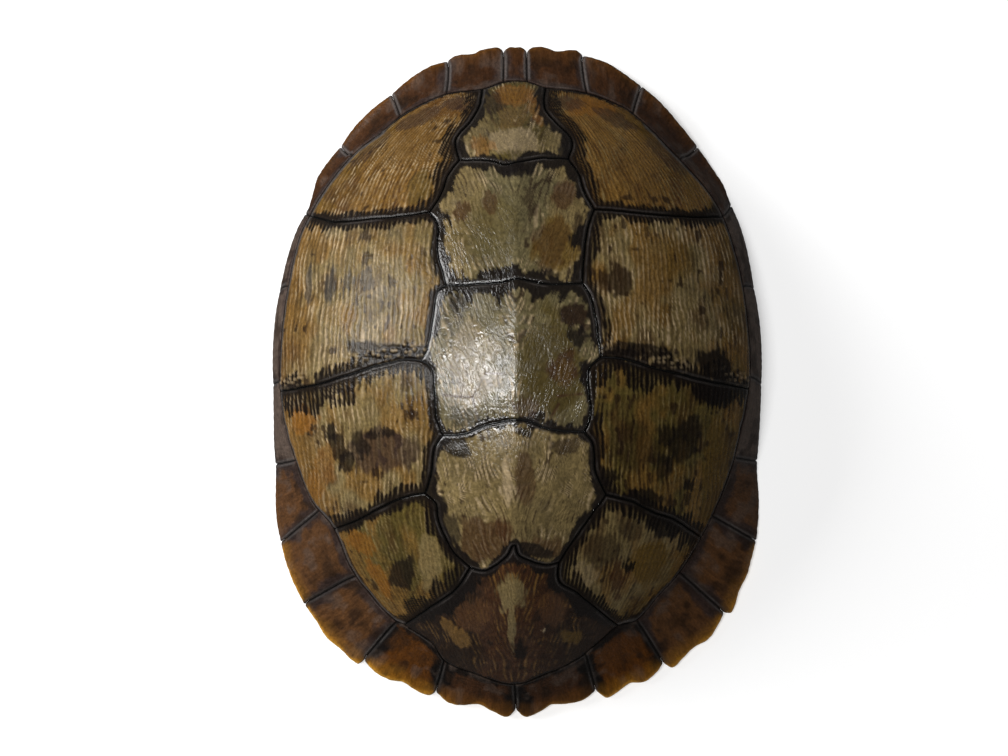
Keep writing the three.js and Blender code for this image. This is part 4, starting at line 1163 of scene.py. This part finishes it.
def marginal_columns(edge, cross_from, cross_to):
    """Directions of a marginal's columns at its seam and rim, its lobes, and its middle."""
    directions, radii = lobe_of(edge)
    middle = directions.mean()
    columns = stepped(np.radians(directions[-1] - directions[0]) * radii.mean())
    trim_rim = math.degrees(CROSS_GAP / 2 / radii.mean())
    trim_seam = math.degrees(CROSS_GAP / 2 / seam_radius(middle))
    rim_at = np.linspace(directions[0] + trim_rim, directions[-1] - trim_rim, columns + 1)
    seam_at = np.linspace(near(direction_of(cross_from), middle) + trim_seam,
                          near(direction_of(cross_to), middle) - trim_seam, columns + 1)
    lobes = smooth_table(np.column_stack([directions, radii]))(rim_at)
    uneven = WORN_RIM * rough(rim_at * 0.9, 0 * rim_at, 2, 86)
    return seam_at, rim_at, lobes + uneven, middle


def marginal(name, edge, cross_from, cross_to, material, look):
    """One marginal between two cross seams. The edge runs clockwise as seen from above."""
    seam_at, rim_at, lobes, middle = marginal_columns(edge, cross_from, cross_to)
    top_edge = skirt_profile(middle, 0.0, np.array(0.0))[0]
    low_edge = skirt_profile(middle, 1.0, np.array(0.0))[0]
    skirt_rows = stepped(np.linalg.norm(low_edge - top_edge))
    outer, normal = marginal_rows(seam_at, rim_at, lobes, 0.0, skirt_rows)
    inner, _ = marginal_rows(seam_at, rim_at, lobes, KERATIN, skirt_rows)
    face = MarginalFace(outer, skirt_rows + LOBE_ROWS + EDGE_ROWS // 2, middle)
    colour, gloss = marginal_colour(face, look)
    shown = outer + normal * marginal_relief(face)[..., None]
    mesh = scute_mesh(name, shown, inner, colour, gloss, face.grain, way=-1)
    if outer[..., 2].min() < NEAR_TABLE:
        saw_flat(mesh)
    show(name, mesh, material)


class MarginalFace:
    """Where each point of a marginal lies: from its seams, its ends and the tip of its edge."""

    def __init__(self, outer, tip_row, middle):
        count, columns = outer.shape[:2]
        lengths = np.linalg.norm(np.diff(outer[:, columns // 2], axis=0), axis=-1)
        down = np.concatenate([[0], np.cumsum(lengths)])
        self.seed = int(abs(middle) * 10)
        self.from_seam = np.broadcast_to(down[:, None], (count, columns))
        self.from_end = down[-1] - self.from_seam
        self.to_tip = self.from_seam - down[tip_row]
        self.from_cross = np.minimum(np.linalg.norm(outer - outer[:, :1], axis=-1),
                                     np.linalg.norm(outer - outer[:, -1:], axis=-1))
        self.edge = np.minimum(self.from_seam, self.from_cross)
        wide = np.linalg.norm(np.diff(outer[tip_row], axis=0), axis=-1)
        along = np.concatenate([[0], np.cumsum(wide)]) + 3 * middle
        self.along = np.broadcast_to(along, (count, columns))
        self.grain = np.stack([self.along * 1.1, self.from_seam * 0.5, 0 * self.along], axis=-1)


def marginal_relief(face):
    """The relief beside the seams, a fine grain, and faint growth rings inside them."""
    edges = edge_relief(np.minimum(face.edge, face.from_end), **RIM_EDGE)
    grain = rough(face.along / 2.2, face.from_seam / 3.5, 3, 81)
    rings = np.cos(face.edge * 2.1 + 1.5 * noise(face.along / 6, face.from_seam / 6, 82))
    return edges + 0.06 * grain + 0.035 * rings * fade(1.5, 3, face.edge)


def marginal_colour(face, look):
    seed = face.seed
    patch = rough(face.along / 6, face.from_seam / 6, 3, seed)
    finger = noise(face.along / 1.6, face.from_seam / 6, seed + 1)
    inside = np.minimum(face.from_seam - look["seam_band"], face.from_cross - look["side_band"])
    colour = mix(look["border"], look["middle"], fade(-1.2, 2.0, inside + 3 * patch + 0.9 * finger))
    mottle = rough(face.along / 5.5, face.from_seam / 7.5, 3, seed + 3)
    colour = mix(colour, GREY_BROWN, 0.45 * fade(0.1, 0.6, mottle))
    colour = mix(colour, DARK_BROWN, 0.7 * fade(0.1, 0.6, -mottle))
    streak = rough(face.along / 1.1, face.from_seam / 6, 3, seed + 5)
    colour = shade(colour, 1 + 0.3 * streak)
    near_rim = fade(-10, -3, face.to_tip + 2 * patch)
    colour = mix(colour, look["rim"], 0.35 * look["rim_part"] * near_rim)
    rim = fade(-4.6, -2.8, face.to_tip + 1.2 * patch) * (1 - fade(1.5, 3.0, face.to_tip))
    away = fade(0.4, 2.5, face.from_cross)
    colour = mix(colour, look["rim"], look["rim_part"] * rim * away)
    thin = fade(0.5, 0.9, look["rim_part"]) * fade(-0.8, 0, patch) * bump(face.to_tip + 1.1, 1.4)
    colour = mix(colour, EDGE_YELLOW, 0.85 * thin * away)
    colour = mix(colour, RED_BROWN, 0.5 * fade(2.0, 5.0, face.to_tip))
    # Painted shadow beside the cross seams, and a painted highlight on the lip next to them.
    shadow = bump(face.from_cross, 1.8) * fade(1.0, 4.0, face.from_seam)
    colour = mix(colour, SEAM_BLACK, (1 - look["cross"]) * 0.9 * shadow)
    pale = look["cross"] * bump(face.from_cross - 0.75, 0.45)
    colour = mix(colour, LIP_HIGHLIGHT, 0.7 * pale * fade(0.5, 3, face.from_seam))
    gloss = RIM_GLOSS + 0.1 * rough(face.along / 4, face.from_seam / 4, 2, seed + 9)
    return seam_colour(colour, face.edge, face.along, face.from_seam), gloss


# ---- bone -----------------------------------------------------------------------------------

BONE_COLUMNS = 480
# Rings of points, from the apex over the outer face and the rim to the hollow's roof
DOME_RINGS = 12
SKIRT_RINGS = 8
EDGE_RINGS = 8
SHELF_RINGS = 5
WALL_RINGS = 6
ROOF_RINGS = 95
BARE_EDGE_RINGS = 3  # the last rings of the edge show, as all of the inside does
ROOF = -(BONE_DEPTH + BONE)
BACKBONE = (84.0, -88.0)
BACKBONE_RADIUS = 5.0
BACKBONE_DROP = 2.0
BACKBONE_AT_APEX = 4.8  # its radius there
VERTEBRA = 21.5
COSTAL_BONE_LEAN = 0.12
RIM_PLATES_FROM = 0.86  # of the marginal seam's radius
RIM_PLATE_TURN = 15  # degrees from each suture between them to the next
RIM_PLATE = 22.0  # the same in millimetres
MEAN_RADIUS = 90.0
FAR = 9.0  # stands for a suture too far away to show


def across_ribs(x, y):
    """A number that grows by 1 from each rib to the next one behind it."""
    return (BACKBONE[0] - y - COSTAL_BONE_LEAN * np.abs(x)) / VERTEBRA


def backbone_relief(x, y):
    """How far the backbone and the ribs stand out from the roof of the hollow."""
    ribs = across_ribs(x, y)
    from_rib = (ribs - np.round(ribs)) * VERTEBRA
    waist = 1 - 0.28 * np.clip(np.abs(from_rib) / (VERTEBRA / 2), 0, 1) ** 1.5
    width = BACKBONE_RADIUS * waist
    ends = fade(BACKBONE[1], BACKBONE[1] + 14, y) * (1 - fade(BACKBONE[0] - 14, BACKBONE[0], y))
    body = (BACKBONE_DROP + width) * np.clip(1 - (x / width) ** 2, 0, 1) ** 0.45
    head = 3.4 * bump(from_rib, 2.6) * (1 - fade(8, 24, np.abs(x)))
    rib = 0.7 * bump(from_rib, 4.5) * (1 - fade(50, 72, np.abs(x)))
    return ends * np.maximum(body, head + rib)


def suture_distance(x, y):
    """How far the roof's points are from the zigzag joints between the bony plates."""
    direction = direction_of(pair(x, y))
    zigzag = 1.1 * noise(x / 2.2, y / 30, 92) + 0.6 * noise(x / 0.9, y / 30, 93)
    ribs = across_ribs(x, y + zigzag) - 0.5
    between = np.abs(ribs - np.round(ribs)) * VERTEBRA
    plates = np.where(np.hypot(x / 0.78, y) < BACKBONE[0], between, FAR)
    radius = np.hypot(x, y) / seam_radius(direction)
    wave = 0.012 * noise(direction / 1.6, radius, 94)
    ring = np.abs(radius + wave - RIM_PLATES_FROM) * MEAN_RADIUS
    turn = direction / RIM_PLATE_TURN + 0.04 * noise(radius * 60, radius, 95)
    spokes = np.abs(turn - np.round(turn)) * RIM_PLATE
    spokes = np.where(radius > RIM_PLATES_FROM, spokes, FAR)
    return np.minimum(np.minimum(plates, ring), spokes)


def bone_outside(at):
    """Rings from the apex over the dome and the skirt, and round the rim's edge."""
    depth = np.full(at.shape, BONE_DEPTH)
    rings = [dome_point(at, part * seam_radius(at), -depth) for part in steps(DOME_RINGS)]
    for part in steps(SKIRT_RINGS):
        rings.append(in_space(at, skirt_profile(at, np.full(at.shape, part), depth)[0]))
    middle, pointing, radius, _ = edge_profile(at, 0)
    reach = (radius - BONE_DEPTH)[:, None]
    for turn in np.pi * steps(EDGE_RINGS):
        rings.append(in_space(at, round_edge(middle, pointing, reach, turn)[0]))
    return rings


def bone_shelf(at):
    """Rings over the shelf inside the rim, and up the wall to the hollow's roof."""
    middle, pointing, radius, _ = edge_profile(at, 0)
    below = middle - quarter_turn(pointing) * (radius - BONE_DEPTH)[:, None]
    rings = []
    for past in np.linspace(0, 1, SHELF_RINGS):
        back = wrap_length(at) + past * shelf_length(at)
        rings.append(in_space(at, below - pointing * back[:, None]))
    inner_face = np.full(at.shape, BONE_DEPTH + BONE)
    foot = in_space(at, skirt_profile(at, np.full(at.shape, HOLLOW_WALL), inner_face)[0])
    shelf = rings[-1]
    return rings + [shelf * (1 - part) + foot * part for part in steps(WALL_RINGS)]


def bone_roof(at):
    """Rings over the hollow's roof to the apex, with the backbone, ribs, sutures and pits."""
    rings = []
    for part in np.linspace(1, 0, ROOF_RINGS + 1)[:-1]:
        distance = part * HOLLOW_REACH * seam_radius(at)
        x, y, _ = in_space(at, pair(distance, 0 * at)).T
        suture = 0.25 * bump(suture_distance(x, y), 0.6)
        pits = 0.12 * rough(x / 3, y / 3, 3, 96)
        rings.append(dome_point(at, distance, ROOF - backbone_relief(x, y) + suture + pits))
    return rings


def add_pole(mesh, ring, height, colour):
    """Closes the innermost ring of points with a fan of triangles about the apex."""
    zero = np.zeros(1)
    point = dome_point(zero, zero, zero + height)
    pole = int(mesh.add_points(point, colour, BONE_GLOSS, point)[0])
    for a, b in zip(ring, np.roll(ring, -1)):
        mesh.faces.append([pole, int(a), int(b)])


def bone(material):
    """The fused dome of bone, with its hollow, cut flat where the bridge was sawn."""
    at = np.linspace(-180, 180, BONE_COLUMNS, endpoint=False)
    outside = bone_outside(at)
    rings = np.array(outside + bone_shelf(at) + bone_roof(at))
    inside = np.zeros(rings.shape[:2])
    inside[len(outside) - BARE_EDGE_RINGS:] = 1
    mesh = Mesh()
    grid = mesh.add_points(rings, bone_colour(rings, inside), BONE_GLOSS, rings / 2)
    mesh.add_grid(grid, flip=True, wrap=True)
    add_pole(mesh, grid[0, ::-1], -BONE_DEPTH, SEAM_BLACK)
    add_pole(mesh, grid[-1], ROOF - BACKBONE_DROP - BACKBONE_AT_APEX, BONE_CREAM)
    built = mesh.build("bone_carapace")
    saw_flat(built)
    show("bone_carapace", built, material)


def bone_colour(rings, inside):
    x, y = rings[..., 0], rings[..., 1]
    stain = fade(-0.1, 0.8, rough(x / 14, y / 14, 4, 91))
    colour = mix(BONE_CREAM, BONE_STAIN, 0.75 * stain)
    rim = fade(0.84, 1.05, np.hypot(x, y) / seam_radius(direction_of(pair(x, y))))
    colour = mix(colour, BONE_STAIN, 0.5 * rim)
    pores = noise(x / 0.8, y / 0.8, 97) + 0.5 * noise(x / 6, y / 6, 98)
    colour = mix(colour, BONE_DARK, 0.6 * fade(0.75, 1.1, pores))
    colour = mix(colour, BONE_DARK, 0.75 * bump(suture_distance(x, y), 0.45))
    return mix(np.broadcast_to(SEAM_BLACK, colour.shape), colour, inside)


# ---- materials ------------------------------------------------------------------------------

GRAIN_HEIGHT = 0.0005  # in metres, as the scene's own unit is
SPECKLE_HEIGHT = 0.0002
SPECKLES = 1300  # in a metre


def attribute(nodes, name):
    node = nodes.new("ShaderNodeAttribute")
    node.attribute_name = name
    return node


def noise_node(nodes, links, place, scale, detail):
    node = nodes.new("ShaderNodeTexNoise")
    node.inputs["Scale"].default_value = scale
    node.inputs["Detail"].default_value = detail
    links.new(place, node.inputs["Vector"])
    return node.outputs["Fac"]


def spread(nodes, links, value, low, high):
    """The middle half of a noise's range, drawn out from low to high."""
    node = nodes.new("ShaderNodeMapRange")
    node.inputs["From Min"].default_value = 0.25
    node.inputs["From Max"].default_value = 0.75
    node.inputs["To Min"].default_value = low
    node.inputs["To Max"].default_value = high
    links.new(value, node.inputs["Value"])
    return node.outputs["Result"]


def times(nodes, links, colour, factor):
    node = nodes.new("ShaderNodeMix")
    node.data_type = "RGBA"
    node.blend_type = "MULTIPLY"
    node.inputs["Factor"].default_value = 1
    links.new(colour, node.inputs["A"])
    links.new(factor, node.inputs["B"])
    return node.outputs["Result"]


def bumps(nodes, links, height, strength, distance):
    node = nodes.new("ShaderNodeBump")
    node.inputs["Strength"].default_value = strength
    node.inputs["Distance"].default_value = distance
    links.new(height, node.inputs["Height"])
    return node


def surface_material(name, contrast, relief, specular):
    """Horn or bone: the broad colour and gloss come from the mesh, the grain from noise.

    The grain is drawn out along the ridges, and a finer speckle lies over it.
    """
    material = bpy.data.materials.new(name)
    material.use_nodes = True
    nodes, links = material.node_tree.nodes, material.node_tree.links
    shader = nodes["Principled BSDF"]
    place = nodes.new("ShaderNodeTexCoord")
    grain = noise_node(nodes, links, attribute(nodes, "grain").outputs["Vector"], 1.0, 4)
    speckle = noise_node(nodes, links, place.outputs["Object"], SPECKLES, 3)
    colour = attribute(nodes, "colour").outputs["Color"]
    colour = times(nodes, links, colour, spread(nodes, links, grain, 1 - contrast, 1 + contrast))
    colour = times(nodes, links, colour, spread(nodes, links, speckle, 0.8, 1.2))
    links.new(colour, shader.inputs["Base Color"])
    links.new(attribute(nodes, "gloss").outputs["Fac"], shader.inputs["Roughness"])
    coarse = bumps(nodes, links, grain, relief, GRAIN_HEIGHT)
    fine = bumps(nodes, links, speckle, relief, SPECKLE_HEIGHT)
    links.new(coarse.outputs["Normal"], fine.inputs["Normal"])
    links.new(fine.outputs["Normal"], shader.inputs["Normal"])
    shader.inputs["Specular IOR Level"].default_value = specular
    return material


# ---- light, floor and camera ----------------------------------------------------------------

CAMERA_HEIGHT = 0.65
CAMERA_X = -0.00494
CAMERA_Y = 0.0022
FIELD_WIDTH = 0.374
SENSOR_WIDTH = 36.0
FLOOR_REACH = 6.0  # from its middle to each side
FLOOR_WHITE = 0.5
FLOOR_GLOW = 0.54  # lifts the shadows to the pale grey of a studio table lit from all round
WORLD_GLOW = 0.05
# Each lamp's direction round the shell, degrees down from overhead, distance, size and watts
LAMPS = {"key": (-68, 58, 1.1, 0.6, 16), "window": (-86, 15, 1.2, 0.24, 9.5)}


def floor_material():
    material = bpy.data.materials.new("floor_white")
    material.use_nodes = True
    shader = material.node_tree.nodes["Principled BSDF"]
    shader.inputs["Base Color"].default_value = (FLOOR_WHITE, FLOOR_WHITE, FLOOR_WHITE, 1)
    shader.inputs["Roughness"].default_value = 0.8
    shader.inputs["Emission Color"].default_value = (1, 1, 1, 1)
    shader.inputs["Emission Strength"].default_value = FLOOR_GLOW
    return material


def floor():
    s = FLOOR_REACH
    mesh = bpy.data.meshes.new("floor")
    mesh.from_pydata([(-s, -s, 0), (s, -s, 0), (s, s, 0), (-s, s, 0)], [], [(0, 1, 2, 3)])
    mesh.materials.append(floor_material())
    piece = bpy.data.objects.new("floor", mesh)
    piece.visible_glossy = False  # as if the shell were shielded from the white all round it
    bpy.context.scene.collection.objects.link(piece)


def camera():
    data = bpy.data.cameras.new("camera")
    data.sensor_width = SENSOR_WIDTH
    data.lens = SENSOR_WIDTH * CAMERA_HEIGHT / FIELD_WIDTH
    data.clip_start = 0.01
    data.clip_end = 20
    eye = bpy.data.objects.new("camera", data)
    eye.location = (CAMERA_X, CAMERA_Y, CAMERA_HEIGHT)
    bpy.context.scene.collection.objects.link(eye)
    bpy.context.scene.camera = eye


def softbox(name, direction, tilt, distance, size, power):
    """A square light, so many degrees down from overhead, facing the shell."""
    data = bpy.data.lights.new(name, "AREA")
    data.shape = "SQUARE"
    data.size = size
    data.energy = power
    lamp = bpy.data.objects.new(name, data)
    around_z = math.radians(direction)
    down = math.radians(tilt)
    out = math.sin(down) * distance
    lamp.location = (out * math.sin(around_z), out * math.cos(around_z), math.cos(down) * distance)
    lamp.rotation_euler = (down, 0, math.pi - around_z)
    bpy.context.scene.collection.objects.link(lamp)


def light():
    for name, lamp in LAMPS.items():
        softbox(name, *lamp)
    world = bpy.data.worlds.new("studio")
    world.use_nodes = True
    background = world.node_tree.nodes["Background"]
    background.inputs["Color"].default_value = (1, 1, 1, 1)
    background.inputs["Strength"].default_value = WORLD_GLOW
    bpy.context.scene.world = world
    bpy.context.scene.view_settings.view_transform = "Standard"


# ---- the whole shell ------------------------------------------------------------------------


def build_shell():
    costal_horn = surface_material("costal_horn", 0.35, 0.4, specular=0.13)
    vertebral_horn = surface_material("vertebral_horn", 0.35, 0.4, specular=0.5)
    marginal_horn = surface_material("marginal_horn", 0.3, 0.3, specular=0.15)
    dry_bone = surface_material("dry_bone", 0.12, 0.5, specular=0.3)
    bone(dry_bone)
    for index, sides in enumerate(vertebral_sides()):
        vertebral(index, sides, vertebral_horn)
    for side in ("left", "right"):
        for index, sides in enumerate(costal_sides(side)):
            costal(side, index, sides, costal_horn)
    marginal("nuchal", RIM_NUCHAL, CROSS_LEFT[0], CROSS_RIGHT[0], marginal_horn, FRONT_LOOK)
    for i, look in enumerate(MARGINAL_LOOKS):
        marginal(f"marginal_left_{i + 1}", RIM_LEFT[i][::-1], CROSS_LEFT[i + 1], CROSS_LEFT[i],
                 marginal_horn, look)
        marginal(f"marginal_right_{i + 1}", RIM_RIGHT[i], CROSS_RIGHT[i], CROSS_RIGHT[i + 1],
                 marginal_horn, look)


camera()
floor()
light()
build_shell()
bpy.context.view_layer.update()
